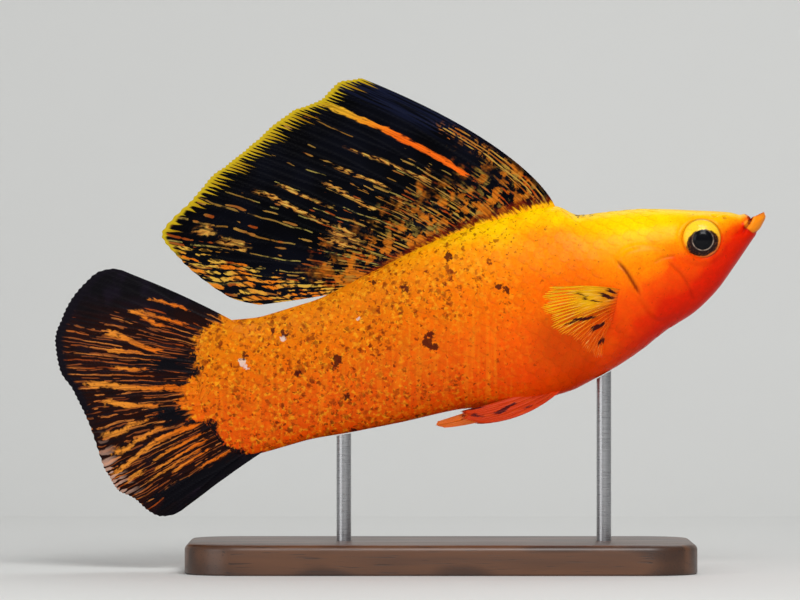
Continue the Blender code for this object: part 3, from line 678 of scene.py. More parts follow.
def scale_coat(side, rng):
    """All the plates of one side as points, faces, attributes and bake coordinates."""
    x = np.linspace(-1, 1, PLATE_ACROSS)[:, None]
    q = np.linspace(0, 1, PLATE_ALONG)[None, :]
    gill_edge = smooth_curve(GILL_COVER_EDGE, True)
    points, faces, places, bands, plates, corners = [], [], [], [], [], []
    ring_number = np.arange(ring_count)
    columns = int((SCALE_END - SCALE_START) / SCALE_STEP * 2)
    for column in range(columns):
        root = SCALE_START + column * SCALE_STEP / 2
        for row in range(column % 2, 2 * SCALE_ROWS + 1, 2):
            share = row / (2 * SCALE_ROWS)
            if not BARE_SHARE < share < 1 - BARE_SHARE:
                continue
            jitter = rng.uniform(-1, 1, 4)
            tone = rng.random()
            width = 1.22 / (2 * SCALE_ROWS) * (1 + 0.05 * jitter[0])
            reach = SCALE_LENGTH * (1 + 0.05 * jitter[1])
            along = root + q * (1 - 0.36 * x * x) * reach + 0.12 * jitter[2]
            ring = np.interp(along, side_behind[front_ring:], ring_number[front_ring:])
            middle = share / 2 if side > 0 else 1 - share / 2
            ways = (middle + x * width / 2 * np.sqrt(np.clip(1.02 - 0.5 * q**4, 0, 1))) % 1.0
            base = on_grid(skin_points, ring, ways)
            normal = on_grid(body_normal, ring, ways)
            centre = base[PLATE_ACROSS // 2, PLATE_ALONG // 2]
            gap, held = distance_to(gill_edge, base[..., 0], base[..., 2], True)
            if np.any(held) or gap.min() < GILL_CLEAR or base[..., 0].min() < FIRST_SCALE:
                continue
            if np.hypot(centre[0] - EYE[0], centre[2] - EYE[2]) < EYE_CLEAR:
                continue
            edge = np.minimum(1.0, (1 - np.abs(x)) / 0.3)
            lift = -0.05 + (0.1 + 0.012 * jitter[3]) * q**1.3 * (0.55 + 0.45 * edge)
            top = base + normal * lift[..., None]
            under = base + normal * (lift - SCALE_THICK)[..., None]
            start = len(points) * PLATE_ACROSS * PLATE_ALONG * 2
            points.append(np.concatenate([top.reshape(-1, 3), under.reshape(-1, 3)]))
            where = on_grid(body, ring, ways).reshape(-1, 3)
            places.append(np.concatenate([where, where]))
            band = on_grid(body_band[..., None], ring, ways).reshape(-1)
            bands.append(np.concatenate([band, band]))
            plate = np.stack([x + 0 * q, q + 0 * x, tone + 0 * x * q], axis=-1).reshape(-1, 3)
            plates.append(np.concatenate([plate, plate]))
            down_flank = (root - SCALE_START) / (SCALE_END - SCALE_START)
            home = 0.02 + 0.96 * np.array((down_flank, share))
            local = np.stack([q + 0 * x, x / 2 + 0 * q], axis=-1).reshape(-1, 2) * BAKE_PATCH + home
            corners.append(np.concatenate([local, local]))
            faces.append(start)
    pattern = slab_faces(PLATE_ACROSS, PLATE_ALONG)[:, ::side]
    all_faces = np.concatenate([pattern + start for start in faces])
    attributes = {
        "place": np.concatenate(places), "band": np.concatenate(bands), "plate": np.concatenate(plates),
    }
    return np.concatenate(points), all_faces, attributes, np.concatenate(corners)


scale_material = flesh_material("scales", 0.27, plated=True)
for label, side, seed in (("left", 1, 21), ("right", -1, 22)):
    points, faces, attributes, corners = scale_coat(side, np.random.default_rng(seed))
    coat = piece("scales_" + label, points, faces, scale_material, (), attributes, sharp=40)
    layer = coat.data.uv_layers.new(name="OFBake")
    loops = np.zeros(len(coat.data.loops), int)
    coat.data.loops.foreach_get("vertex_index", loops)
    layer.data.foreach_set("uv", corners[loops].astype(np.float32).ravel())

# Eyes. Each eye is a clear-domed ball, flattened to a lens, that stands a little out of its socket. A
# round black pupil bulges in a thin silver ring, in a dark iris that turns yellow at the top.
EYE_HALF_DEPTH = 1.3
PUPIL_RADIUS = 1.48
PUPIL_BULGE = 0.16
PUPIL_CENTRE = (-0.1, -0.19)
IRIS_CENTRE = (0.05, -0.62)
IRIS_REACH = (2.45, 1.98)
EYE_RINGS, EYE_SIDES = 40, 72
eye_material, tree, shader = shaded("eye_ball", 0.3, 0.16, 0.03, 0.08)
disc = attribute(tree, "disc")


def radius_from(flat, centre, reach):
    """Distance from a centre, in shares of the reach along each axis."""
    return length((flat[0] - centre[0]) / reach[0], (flat[1] - centre[1]) / reach[1])


flat = axes(disc)[::2]
ragged = (noise(disc, 1.1, 2.0) - 0.5) * 0.25
from_pupil = radius_from(flat, PUPIL_CENTRE, (1.0, 1.0))
from_iris = radius_from(flat, IRIS_CENTRE, IRIS_REACH) + ragged
threads = noise(disc, 4.0, 4.0, 0.7)
upper = flat[1] + threads * 0.8
colour = blend(window(upper, -1.6, 1.6), rgb(240, 120, 40), rgb(255, 206, 40))
colour = blend(window(from_iris, 0.94, 1.04, 1.0, 0.0), colour, rgb(30, 8, 8))
speck = window(threads, 0.5, 0.66) * window(from_iris, 0.6, 0.95)
colour = blend(speck * 0.35, colour, rgb(190, 110, 50))
ring = window(from_pupil, 1.46, 1.54) * window(from_pupil, 1.6, 1.72, 1.0, 0.0)
ring *= window(flat[1], 0.6, -0.9, 0.25, 1.0)
ring *= window(noise(disc, 2.2, 2.0), 0.35, 0.6, 0.35, 1.0)
colour = blend(ring, colour, rgb(166, 146, 130))
colour = blend(window(from_pupil, PUPIL_RADIUS - 0.04, PUPIL_RADIUS + 0.04, 1.0, 0.0), colour, rgb(3, 3, 8))
colour = blend(window(radius_from(flat, (0.0, 0.0), (1.0, 1.0)), 2.7, 2.88) * 0.5, colour, rgb(150, 62, 8))
link(colour, shader.inputs["Base Color"])
link(ring * 0.7, shader.inputs["Metallic"])
for label, side in (("left", 1), ("right", -1)):
    polar = np.linspace(0, math.pi, EYE_RINGS + 1)[1:-1][:, None]
    turn = np.linspace(0, 2 * math.pi, EYE_SIDES, endpoint=False)[None, :]
    flat = np.sin(polar) * EYE_RADIUS
    depth = np.cos(polar) * EYE_HALF_DEPTH
    off_pupil = np.hypot(flat * np.cos(turn) - PUPIL_CENTRE[0], flat * np.sin(turn) - PUPIL_CENTRE[1])
    bulge = PUPIL_BULGE * (1 - smooth(off_pupil, PUPIL_RADIUS * 0.6, PUPIL_RADIUS * 1.08))
    dome = np.where(depth > 0, bulge, 0.0)
    ball = np.stack([flat * np.cos(turn), side * (depth + dome), flat * np.sin(turn)], axis=-1).reshape(-1, 3)
    poles = np.array(((0, side * (EYE_HALF_DEPTH + PUPIL_BULGE), 0), (0, -side * EYE_HALF_DEPTH, 0)))
    ball = np.concatenate([ball, poles])
    faces = [f[::-side] for f in closed_tube(EYE_RINGS - 1, EYE_SIDES)]
    centre = np.array((EYE[0], side * EYE[1], EYE[2]))
    piece("eye_ball_" + label, ball + centre, faces, eye_material, ("eye_" + label,), {"disc": ball})

# Dorsal fin. The male's sail is a thin skin stretched on bony rays that branch toward its edge. It is
# black, with a painted blue sheen near the leading rays, streaked tan and orange along the rays, and a
# hatched yellow edge behind.
MEMBRANE_HALF = 0.085                      # half the thickness of the skin between two rays
RAY_SPLIT = 20                             # columns of the mesh from one ray to the next
RAY_WIDTH = 0.13                           # half the width of a ray's ridge, in gaps between rays
DORSAL_BASE = (28.9, 61.0)
DORSAL_RAYS = 16
# the ray at the start and at the end of a streak, half its width in ray gaps, and where it starts and ends
DORSAL_STREAKS = (
    (2.85, 2.75, 0.2, 0.26, 0.98), (10.4, 9.8, 0.1, 0.42, 0.8), (12.5, 12.3, 0.14, 0.62, 0.76),
    (4.7, 5.05, 0.06, 0.3, 0.7), (12.1, 12.1, 0.14, 0.8, 0.88), (10.9, 10.4, 0.4, 0.24, 0.4),
    (8.2, 7.8, 0.07, 0.35, 0.62), (6.4, 6.5, 0.06, 0.4, 0.66), (11.3, 11.2, 0.3, 0.26, 0.38),
    (9.2, 9.0, 0.07, 0.5, 0.75),
)
DORSAL_EDGE = np.array((
    (0.0, 51.0, 38.3), (0.06, 54.0, 38.8), (0.16, 57.7, 37.2), (0.28, 62.5, 36.6), (0.4, 67.3, 34.7),
    (0.52, 71.8, 32.8), (0.64, 76.2, 31.0), (0.75, 80.6, 28.3), (0.84, 86.5, 24.2), (0.9, 85.0, 20.2),
    (0.95, 82.0, 15.6), (0.98, 79.0, 12.2), (1.0, 75.6, 10.2),
))


def edge_of(table, u):
    return np.stack([eased(table[:, 0], table[:, 1], u), eased(table[:, 0], table[:, 2], u)], axis=-1)


def rays_between(root, tip, bulge, v, skew=1.0):
    """Points along rays that bow by bulge from the straight lines between their ends."""
    along = tip - root
    along = along / np.linalg.norm(along, axis=-1, keepdims=True)
    w = v**skew
    aside = np.stack([-along[:, 1], along[:, 0]], axis=-1)
    bow = aside[:, None, :] * (4 * bulge[:, None] * w * (1 - w))[..., None]
    return root[:, None, :] + (tip - root)[:, None, :] * v[None, :, None] + bow


def branch_ridge(u_rays, v, forks):
    """Height, 0 to 1, of the ray that is nearest: one stem, then two branches, then four twigs."""
    off = (u_rays - np.round(u_rays))[:, None]
    first = 0.25 * smooth(v, forks[0], forks[0] + 0.3)[None, :]
    second = 0.125 * smooth(v, forks[1], forks[1] + 0.3)[None, :]
    slim = RAY_WIDTH * (1 - 0.45 * v)[None, :]
    ridge = np.zeros((len(u_rays), len(v)))
    for side in (-1, 1):
        for twig in (-1, 1):
            ridge = np.maximum(ridge, bell(off - side * first - twig * second, slim))
    return ridge


def fin(name, rays, rows, shape, material, stands_for, forks, ray_height, root_half, notch, seed):
    """A ribbed sheet. shape(u, v) gives its middle surface, u across the rays and v along them.

    Rays branch at the forks. notch is how far the edge falls back between two rays.
    """
    rng = np.random.default_rng(seed)
    columns = (rays - 1) * RAY_SPLIT + 1
    u = np.linspace(0, 1, columns)
    v = np.linspace(0, 1, rows + 1)
    ridge = branch_ridge(u * (rays - 1), v, forks)
    uneven = np.interp(u * (rays - 1) * 2, np.arange(rays * 2), rng.uniform(-1, 1, rays * 2))
    reach = 1 + notch * (0.6 * uneven - (1 - ridge[:, -1]) * 0.8 - 0.4)
    middle = shape(u, v)
    pulled = np.zeros_like(middle)
    for i in range(columns):
        for axis in range(3):
            pulled[i, :, axis] = np.interp(v * reach[i], v, middle[i, :, axis])
    beyond = np.maximum(reach - 1, 0)[:, None, None] * v[None, :, None] ** 4
    middle = pulled + beyond * (middle[:, -1:] - middle[:, -2:-1]) * rows
    steps = np.linalg.norm(np.diff(middle, axis=1), axis=2)
    run = np.concatenate([np.zeros((columns, 1)), np.cumsum(steps, axis=1)], axis=1)
    fleshy = root_half * np.exp(-np.maximum(run - 0.8, 0) / 1.6)
    half = MEMBRANE_HALF + fleshy + ridge * ray_height * (1 - 0.6 * v)[None, :]
    half[:, -1] *= 0.5
    half[0] *= 0.7
    half[-1] *= 0.7
    normal = grid_normals(middle, False)
    top, under = middle + normal * half[..., None], middle - normal * half[..., None]
    points = np.concatenate([top.reshape(-1, 3), under.reshape(-1, 3)])
    ray_place = np.stack(
        np.broadcast_arrays((u * (rays - 1))[:, None], v[None, :], ridge), axis=-1,
    ).reshape(-1, 3)
    attributes = {"ray": np.concatenate([ray_place] * 2), "place": points}
    faces = slab_faces(columns, rows + 1)
    return piece(name, points, faces, material, stands_for, attributes, sharp=50)


# Streaks that follow the rays, shared by every fin. The skin between two rays is ruled into lanes, and
# each lane carries dashes that swell and taper along it.
streaks, streak_in, streak_out = group(
    "ray_streaks",
    (("Ray", "Vector", None), ("Lanes", "Float", 3.0), ("Along", "Float", 9.0), ("Cover", "Float", 0.5),
     ("Widest", "Float", 0.3), ("Soft", "Float", 0.14), ("Seed", "Float", 0.0)),
    (("Mask", "Float"), ("Tone", "Float")),
)
across, along, _ = axes(streak_in["Ray"])
seed = streak_in["Seed"]
wander = (noise(stretched(streak_in["Ray"], (1.2, 6.0, 0.0)), 1.0, 2.0) - 0.5) * 0.4
lane_place = (across + wander) * streak_in["Lanes"]
lane = calc("FLOOR", lane_place)
off_lane = abs(calc("FRACT", lane_place) - 0.5)
down_lane = along * streak_in["Along"]
lane_point = out(node("ShaderNodeCombineXYZ", {0: lane * 3.7 + seed, 1: down_lane, 2: seed}))
dash = noise(lane_point, 1.0, 2.0, 0.55)
limit = 0.74 - streak_in["Cover"] * 0.42
half_width = calc("MINIMUM", (dash - limit) * 3.2, streak_in["Widest"])
link(window(half_width - off_lane, 0.0, streak_in["Soft"]), streak_out["Mask"])
link(window(noise(lane_point, 0.7, 1.0), 0.35, 0.65), streak_out["Tone"])


# How a stroke on a fin leaves its line: a slow wobble, a fine grit, and fibres that split it along the ray.
frayed, frayed_in, frayed_out = group(
    "frayed_strokes", (("Ray", "Vector", None),),
    (("Wobble", "Float"), ("Grit", "Float"), ("Fibre", "Float")),
)
slow = noise(stretched(frayed_in["Ray"], (1.5, 8.0, 0.0)), 1.0, 2.0)
link((slow - 0.5) * 0.4, frayed_out["Wobble"])
fine = noise(stretched(frayed_in["Ray"], (5.0, 24.0, 0.0)), 1.0, 3.0)
link(fine - 0.5, frayed_out["Grit"])
threads = noise(stretched(frayed_in["Ray"], (8.0, 5.0, 0.0)), 1.0, 2.0)
link(window(threads, 0.38, 0.58), frayed_out["Fibre"])

# The joints along each ray and the grain of the skin between, as a height.
jointed, joint_in, joint_out = group(
    "jointed_rays", (("Ray", "Vector", None), ("Place", "Vector", None)), (("Height", "Float"),),
)
rings = node(
    "ShaderNodeTexWave", {"Vector": joint_in["Ray"], "Scale": 14.0, "Distortion": 1.5}, bands_direction="Y",
)
on_ray = axes(joint_in["Ray"])[2]
grain = noise(joint_in["Place"], 3.5, 3.0) * 0.7
link(out(rings, "Fac") * on_ray + grain, joint_out["Height"])


def streak_mask(ray, lanes, along, cover, widest, seed, soft=0.14):
    """The dashes between the rays, and a tone of each."""
    values = {"Ray": ray, "Lanes": lanes, "Along": along, "Cover": cover, "Widest": widest, "Soft": soft}
    made = node("ShaderNodeGroup", {**values, "Seed": seed}, node_tree=streaks)
    return out(made, "Mask"), out(made, "Tone")


def fray(ray):
    """Wobble, grit and fibre of the strokes."""
    made = node("ShaderNodeGroup", {"Ray": ray}, node_tree=frayed)
    return out(made, "Wobble"), out(made, "Grit"), out(made, "Fibre")


def marks(across, along, strokes, wobble, grit):
    """A mask of strokes along the rays, each its ray at the start and the end, half-width, start and end."""
    masks = []
    ragged = wobble + grit * 0.35
    ends = along + grit * 0.2
    for first, last, half, start, end in strokes:
        line = window(along, start, end, first, last)
        off = abs(across + ragged - line)
        hit = window(off, half * 0.8, half * 0.8 + 0.1, 1.0, 0.0)
        hit *= window(ends, start - 0.01, start + 0.03)
        hit *= window(ends, end - 0.03, end + 0.01, 1.0, 0.0)
        masks.append(hit)
    return highest(masks)


def body_colour(place, band):
    """The body's own markings, for the root of a fin."""
    return out(node("ShaderNodeGroup", {"Place": place, "Band": band}, node_tree=markings), "Color")


def fin_finish(shader, ray, place, colour):
    """Colour, and the fine joints of the rays as bump."""
    made = node("ShaderNodeGroup", {"Ray": ray, "Place": place}, node_tree=jointed)
    dress(shader, colour, out(made, "Height"), 0.5, 0.06 * MM)


dorsal_material, tree, shader = shaded("sail_membrane", 0.42, 0.0, 0.2, 0.02)
ray, place = attribute(tree, "ray"), attribute(tree, "place")
across, along, _ = axes(ray)
blotch = noise(place, 0.35, 3.0, 0.6)
wobble, grit, fibre = fray(ray)
colour = blend(window(noise(place, 0.12, 2.0), 0.35, 0.7), rgb(3, 3, 5), rgb(7, 8, 16))
# Painted sheen: a dark blue highlight near the leading rays, broken up by the fibres.
painted_sheen = window(across, 1.9, 1.2) * window(along, 0.3, 0.6)
colour = blend(painted_sheen * fibre, colour, rgb(18, 22, 42))
# Thin olive lines along the rays behind the bold streak, and a mottled tan band behind the leading ray.
black_heart = window(along, 0.4, 0.6) * window(across, 11.5, 9.0)
rear_cover = window(across, 2.8, 4.0) * window(blotch, 0.35, 0.65, 0.5, 0.85)
rear_cover *= window(black_heart, 0.0, 1.0, 1.0, 0.5)
mask, tone = streak_mask(ray, 1.3, 4.5, rear_cover, 0.06, 1.0, 0.03)
line_colour = blend(tone, rgb(140, 96, 36), rgb(156, 140, 70))
mask *= window(grit, -0.12, 0.02, 0.08, 1.0)
colour = blend(mask * 0.85, colour, line_colour)
mask, tone = streak_mask(ray, 3.4, 8.0, rear_cover * 0.72, 0.2, 7.0, 0.08)
colour = blend(mask * 0.8, colour, blend(tone, rgb(150, 64, 16), rgb(170, 128, 56)))
front_cover = window(across, 0.15, 0.4) * window(across, 0.9, 1.5, 0.9, 0.0)
front_cover *= window(along, 0.5, 0.62, 1.0, 0.0)
mask, tone = streak_mask(ray, 4.0, 9.0, front_cover, 0.24, 11.0, 0.1)
colour = blend(mask * 0.85, colour, blend(tone, rgb(166, 84, 20), rgb(196, 150, 62)))
front_mottle = window(noise(place, 0.9, 3.0, 0.65), 0.5, 0.62) * front_cover
colour = blend(front_mottle * fibre, colour, rgb(176, 104, 30))
# Mottled orange and olive near the base, drawn out along the rays.
base_share = along + (blotch - 0.5) * -0.6
near_base = window(base_share, 0.12, 0.36, 1.0, 0.0)
near_base *= window(across, 0.12, 0.5, 0.1, 1.0)
mask, tone = streak_mask(ray, 3.6, 12.0, 0.7, 0.3, 5.0, 0.12)
mottle = blend(tone, rgb(176, 66, 12), rgb(176, 138, 52))
mask *= window(grit, -0.14, 0.02, 0.2, 1.0)
colour = blend(mask * near_base * 0.9, colour, mottle)
patch = window(noise(place, 0.45, 4.0, 0.6), 0.5, 0.58) * near_base
patch *= window(fibre, 0.0, 1.0, 0.45, 0.9)
colour = blend(patch, colour, rgb(204, 112, 22))
olive = window(noise(place, 0.55, 3.0, 0.6), 0.55, 0.66) * near_base
olive *= window(fibre, 0.0, 1.0, 0.2, 0.75)
colour = blend(olive, colour, rgb(150, 122, 52))
# The rear lobe is blotched tan and orange in short dashes.
lobe = across - 14.3 + along * 1.6
mask, tone = streak_mask(ray, 4.3, 9.5, window(lobe, -0.8, 0.8, 0.1, 0.84), 0.4, 9.0, 0.12)
mask *= window(lobe, -0.9, 0.1)
mask *= window(grit, -0.1, 0.02, 0.1, 1.0)
colour = blend(mask, colour, blend(tone, rgb(214, 112, 20), rgb(206, 160, 60)))
# Bold streaks: the longest lies along the third ray.
bold = marks(across, along, DORSAL_STREAKS[:1], wobble, grit) * window(grit, -0.2, -0.08, 0.3, 1.0)
bold *= window(fibre, 0.0, 1.0, 0.7, 1.0)
colour = blend(bold, colour, blend(window(along, 0.6, 0.95), rgb(236, 100, 16), rgb(222, 168, 40)))
thin = marks(across, along, DORSAL_STREAKS[1:], wobble, grit) * window(grit, -0.1, 0.02)
thin *= window(fibre, 0.0, 1.0, 0.25, 0.95)
colour = blend(thin, colour, blend(window(grit, -0.2, 0.2), rgb(186, 84, 18), rgb(214, 170, 76)))
# The hatched yellow edge: fine strokes of uneven length run in from it, each ending in a point.
lane_place = (across + wobble * 0.6) * 4.6
off_lane = abs(calc("FRACT", lane_place) - 0.5)
lane = calc("FLOOR", lane_place)
chance = out(node("ShaderNodeTexWhiteNoise", {"W": lane}, noise_dimensions="1D"), "Value")
inner_edge = chance * 0.08 + off_lane * 0.19
inner_edge += window(across, 10.0, 13.0, 0.872, 0.912)
yellow = window(along - inner_edge, 0.0, 0.02)
yellow *= window(across, 13.6, 12.8)
yellow *= window(off_lane, 0.28, 0.48, 0.95, 0.2)
edge_colour = blend(chance, rgb(146, 104, 10), rgb(220, 190, 40))
colour = blend(yellow, colour, blend(window(along, 0.93, 1.0), edge_colour, rgb(192, 160, 22)))
colour = blend(window(along, 0.975, 0.99) * window(across, 13.6, 12.8), colour, rgb(186, 158, 26))
# Flesh of the back runs a little way up between the rays, under a broken dark red line.
low = along - grit * 0.08
dark_line = window(low, 0.05, 0.085, 1.0, 0.0) * window(blotch, 0.35, 0.55, 0.3, 0.9)
colour = blend(dark_line, colour, rgb(92, 18, 4))
colour = blend(window(low, 0.026, 0.05, 1.0, 0.0), colour, body_colour(place, 0.92))
fin_finish(shader, ray, place, colour)


def dorsal_shape(u, v):
    behind = DORSAL_BASE[0] + (DORSAL_BASE[1] - DORSAL_BASE[0]) * u
    ridge = np.interp(behind, BODY_SECTIONS[BEHIND_LIPS:, 0], BODY_SECTIONS[BEHIND_LIPS:, 1])
    root = np.stack([behind, ridge - 1.2], axis=-1)
    bulge = 3.0 - 3.3 * np.minimum(1.0, u * 1.15)
    flat = rays_between(root, edge_of(DORSAL_EDGE, u), bulge, v, 0.7)
    sway = 0.9 * v[None, :] ** 2 * np.sin(5.0 * u + 0.4)[:, None]
    return np.stack([flat[..., 0], sway, flat[..., 1]], axis=-1)


fin("dorsal_sail", DORSAL_RAYS, 70, dorsal_shape, dorsal_material, ("dorsal_fin",),
    forks=(0.42, 0.68), ray_height=0.14, root_half=0.5, notch=0.008, seed=31)

# Tail fin. The fan grows from the rounded end of the stalk on rays that branch twice. It is black with a
# violet sheen, with orange streaks between the rays and orange flesh running out over their roots.
CAUDAL_RAYS = 17
CAUDAL_ROOT = ((79.5, 8.6), (80.0, -10.5))
CAUDAL_STREAKS = (
    (4.4, 3.7, 0.12, 0.38, 0.74), (4.75, 4.8, 0.07, 0.48, 0.7), (5.95, 5.9, 0.07, 0.5, 0.68),
    (7.3, 6.9, 0.13, 0.42, 0.9), (8.5, 8.0, 0.12, 0.5, 0.84), (10.2, 10.3, 0.15, 0.26, 0.64),
    (10.3, 11.0, 0.11, 0.6, 0.98), (11.9, 11.9, 0.16, 0.78, 0.92), (8.6, 8.6, 0.36, 0.2, 0.38),
    (7.4, 7.3, 0.26, 0.2, 0.42), (12.0, 12.2, 0.07, 0.3, 0.72), (13.0, 13.2, 0.06, 0.36, 0.66),
    (1.0, 1.2, 0.04, 0.34, 0.6), (2.0, 2.1, 0.05, 0.3, 0.62), (2.6, 2.2, 0.05, 0.42, 0.66),
    (14.1, 14.0, 0.05, 0.24, 0.5), (9.75, 10.0, 0.02, 0.5, 0.92), (11.2, 11.4, 0.08, 0.3, 0.7),
    (9.2, 9.4, 0.02, 0.6, 0.95), (12.6, 12.8, 0.04, 0.4, 0.8),
)
CAUDAL_PATCHES = (
    (5.2, 5.6, 0.62, 0.25, 0.5), (9.35, 9.0, 0.5, 0.35, 0.6), (14.9, 14.4, 0.6, 0.3, 0.95),
)
CAUDAL_EDGE = np.array((
    (0.0, 93.6, 21.0), (0.025, 95.1, 21.9), (0.05, 97.0, 22.1), (0.09, 99.5, 21.2), (0.21, 104.5, 17.0),
    (0.3, 106.7, 13.6), (0.38, 107.1, 9.8), (0.45, 106.1, 6.0), (0.55, 105.4, 0.8), (0.65, 105.0, -6.4),
    (0.75, 104.2, -9.8), (0.85, 102.0, -12.4), (0.91, 100.6, -14.6), (0.95, 99.0, -15.9), (0.98, 97.0, -16.2),
    (1.0, 94.8, -15.4),
))
caudal_material, tree, shader = shaded("tail_membrane", 0.42, 0.0, 0.2, 0.05)
ray, place = attribute(tree, "ray"), attribute(tree, "place")
across, along, _ = axes(ray)
blotch = noise(place, 0.3, 3.0, 0.6)
wobble, grit, fibre = fray(ray)
colour = blend(window(blotch, 0.4, 0.7), rgb(9, 7, 11), rgb(20, 14, 25))
# The upper and lower rays stay black, also toward the tips of the upper lobe.
slant = across - along * 3.6
middle_rays = window(slant, -1.6, 1.2) * window(across, 15.4, 14.0)
colour = blend(middle_rays * window(fibre, 0.0, 1.0, 0.3, 0.9), colour, rgb(34, 9, 4))
cover = middle_rays * window(blotch, 0.35, 0.62, 0.55, 0.95)
mask, tone = streak_mask(ray, 2.6, 3.4, cover, 0.15, 3.0, 0.08)
mask *= window(grit, -0.18, -0.04, 0.2, 1.0)
streak_colour = blend(tone, rgb(156, 66, 15), rgb(196, 116, 50))
colour = blend(mask * window(fibre, 0.0, 1.0, 0.35, 0.92), colour, streak_colour)
mask, tone = streak_mask(ray, 4.2, 5.0, middle_rays * 0.55, 0.16, 13.0, 0.08)
colour = blend(mask * 0.7, colour, rgb(146, 74, 32))
split_ends = along + window(fibre, 0.0, 1.0, -0.05, 0.07)
dark = marks(across, split_ends, CAUDAL_PATCHES, wobble, grit)
colour = blend(dark, colour, rgb(8, 7, 13))
bold = marks(across, along, CAUDAL_STREAKS, wobble, grit) * window(grit, -0.2, -0.05, 0.25, 1.0)
bold *= window(fibre, 0.0, 1.0, 0.55, 1.0)
colour = blend(bold, colour, blend(window(along, 0.3, 0.8), rgb(222, 104, 14), rgb(222, 136, 44)))
dark_rim = window(along, 0.93, 0.97) * window(across, 9.5, 8.0)
colour = blend(dark_rim, colour, rgb(14, 10, 18))
mask, tone = streak_mask(ray, 3.0, 8.0, 0.85, 0.42, 19.0)
pale_rim = window(along, 0.86, 0.97) * window(across, 9.0, 10.5)
pale_rim = pale_rim * mask * window(across, 13.6, 12.4)
colour = blend(pale_rim * 0.75, colour, rgb(198, 156, 136))
# The flesh of the stalk runs out over the roots of the rays in fingers, with the body's own dots.
fingers = along + (noise(stretched(ray, (2.2, 2.0, 0.0)), 1.0, 2.0) - 0.5) * 0.35
middle = window(across, 6.0, 8.0) * window(across, 11.5, 10.0)
fingers -= middle * 0.11
fingers += window(across, 13.4, 15.2) * 0.1
fingers += window(across, 2.4, 0.4) * 0.1
fingers = window(fingers, 0.18, 0.25, 1.0, 0.0)
colour = blend(fingers, colour, body_colour(place, window(axes(place)[2], -16.0, 14.0)))
fin_finish(shader, ray, place, colour)


def caudal_shape(u, v):
    root = np.stack([CAUDAL_ROOT[0][0] + 4.0 * np.sin(math.pi * u),
                     CAUDAL_ROOT[0][1] + (CAUDAL_ROOT[1][1] - CAUDAL_ROOT[0][1]) * u], axis=-1)
    bulge = 0.35 * (1 - u) ** 3 + 0.15 * u
    flat = rays_between(root, edge_of(CAUDAL_EDGE, u), bulge, v)
    sway = v[None, :] ** 2 * (1.0 + 0.45 * np.sin(9.0 * u))[:, None]
    return np.stack([flat[..., 0], sway, flat[..., 1]], axis=-1)


fin("tail_fan", CAUDAL_RAYS, 60, caudal_shape, caudal_material, ("caudal_fin",),
    forks=(0.35, 0.6), ray_height=0.13, root_half=0.45, notch=0.008, seed=32)

# Paired fins and the anal fin. The breast fins fan out behind the gill covers, yellow over orange with a
# few black streaks, and half clear. The belly fins and the male's rod-like anal fin lie back under the
# belly, orange with small dark marks.
PECTORAL_RAYS = 13
PECTORAL_ROOT = ((23.0, -3.4), (25.9, -7.3))
PECTORAL_SIDE = (5.9, 12.6)
PECTORAL_BOW = (0.3, 0.3)
PECTORAL_EDGE = np.array((
    (0.0, 33.6, 0.2), (0.15, 35.3, -1.6), (0.35, 35.5, -4.2), (0.55, 34.0, -7.2), (0.75, 31.6, -10.0),
    (0.9, 30.2, -11.7), (1.0, 28.9, -12.2),
))
PELVIC_RAYS = 6
PELVIC_ROOT = ((37.4, -13.9), (36.2, -15.4))
PELVIC_SIDE = (1.3, 3.4)
PELVIC_EDGE = np.array(((0.0, 51.4, -13.95), (0.35, 51.7, -14.6), (0.7, 51.0, -15.7), (1.0, 48.9, -16.55)))
PELVIC_BOW = (-0.2, -1.1)
ANAL_RAYS = 3
ANAL_ROOT = ((42.4, -13.9), (40.2, -15.0))
ANAL_EDGE = np.array(((0.0, 55.3, -14.35), (0.5, 55.6, -14.8), (1.0, 54.6, -15.5)))
ANAL_BOW = (-0.1, -1.0)


# Black streaks of the breast fin and dark marks of the belly fin, told as on the sail.
BREAST_STREAKS = (
    (1.54, 0.47, 0.42, 0.06, 0.22), (3.3, 1.7, 0.56, 0.07, 0.3), (2.87, 1.21, 0.24, 0.42, 0.6),
    (3.97, 3.13, 0.16, 0.26, 0.4), (6.86, 5.9, 0.32, 0.42, 0.76), (6.1, 5.86, 0.14, 0.74, 0.88),
    (9.5, 8.5, 0.42, 0.29, 0.68), (11.48, 10.98, 0.34, 0.54, 0.75), (11.95, 11.9, 0.34, 0.54, 0.71),
)
BELLY_STREAKS = (
    (0.3, 0.05, 0.3, 0.77, 0.95), (2.6, 1.7, 0.3, 0.81, 0.95), (1.9, 2.9, 0.4, 0.42, 0.71),
    (0.2, 1.1, 0.4, 0.19, 0.3), (3.9, 3.8, 0.24, 0.34, 0.43),
)
ROD_STREAKS = ((0.4, 0.6, 0.5, 0.66, 0.72),)


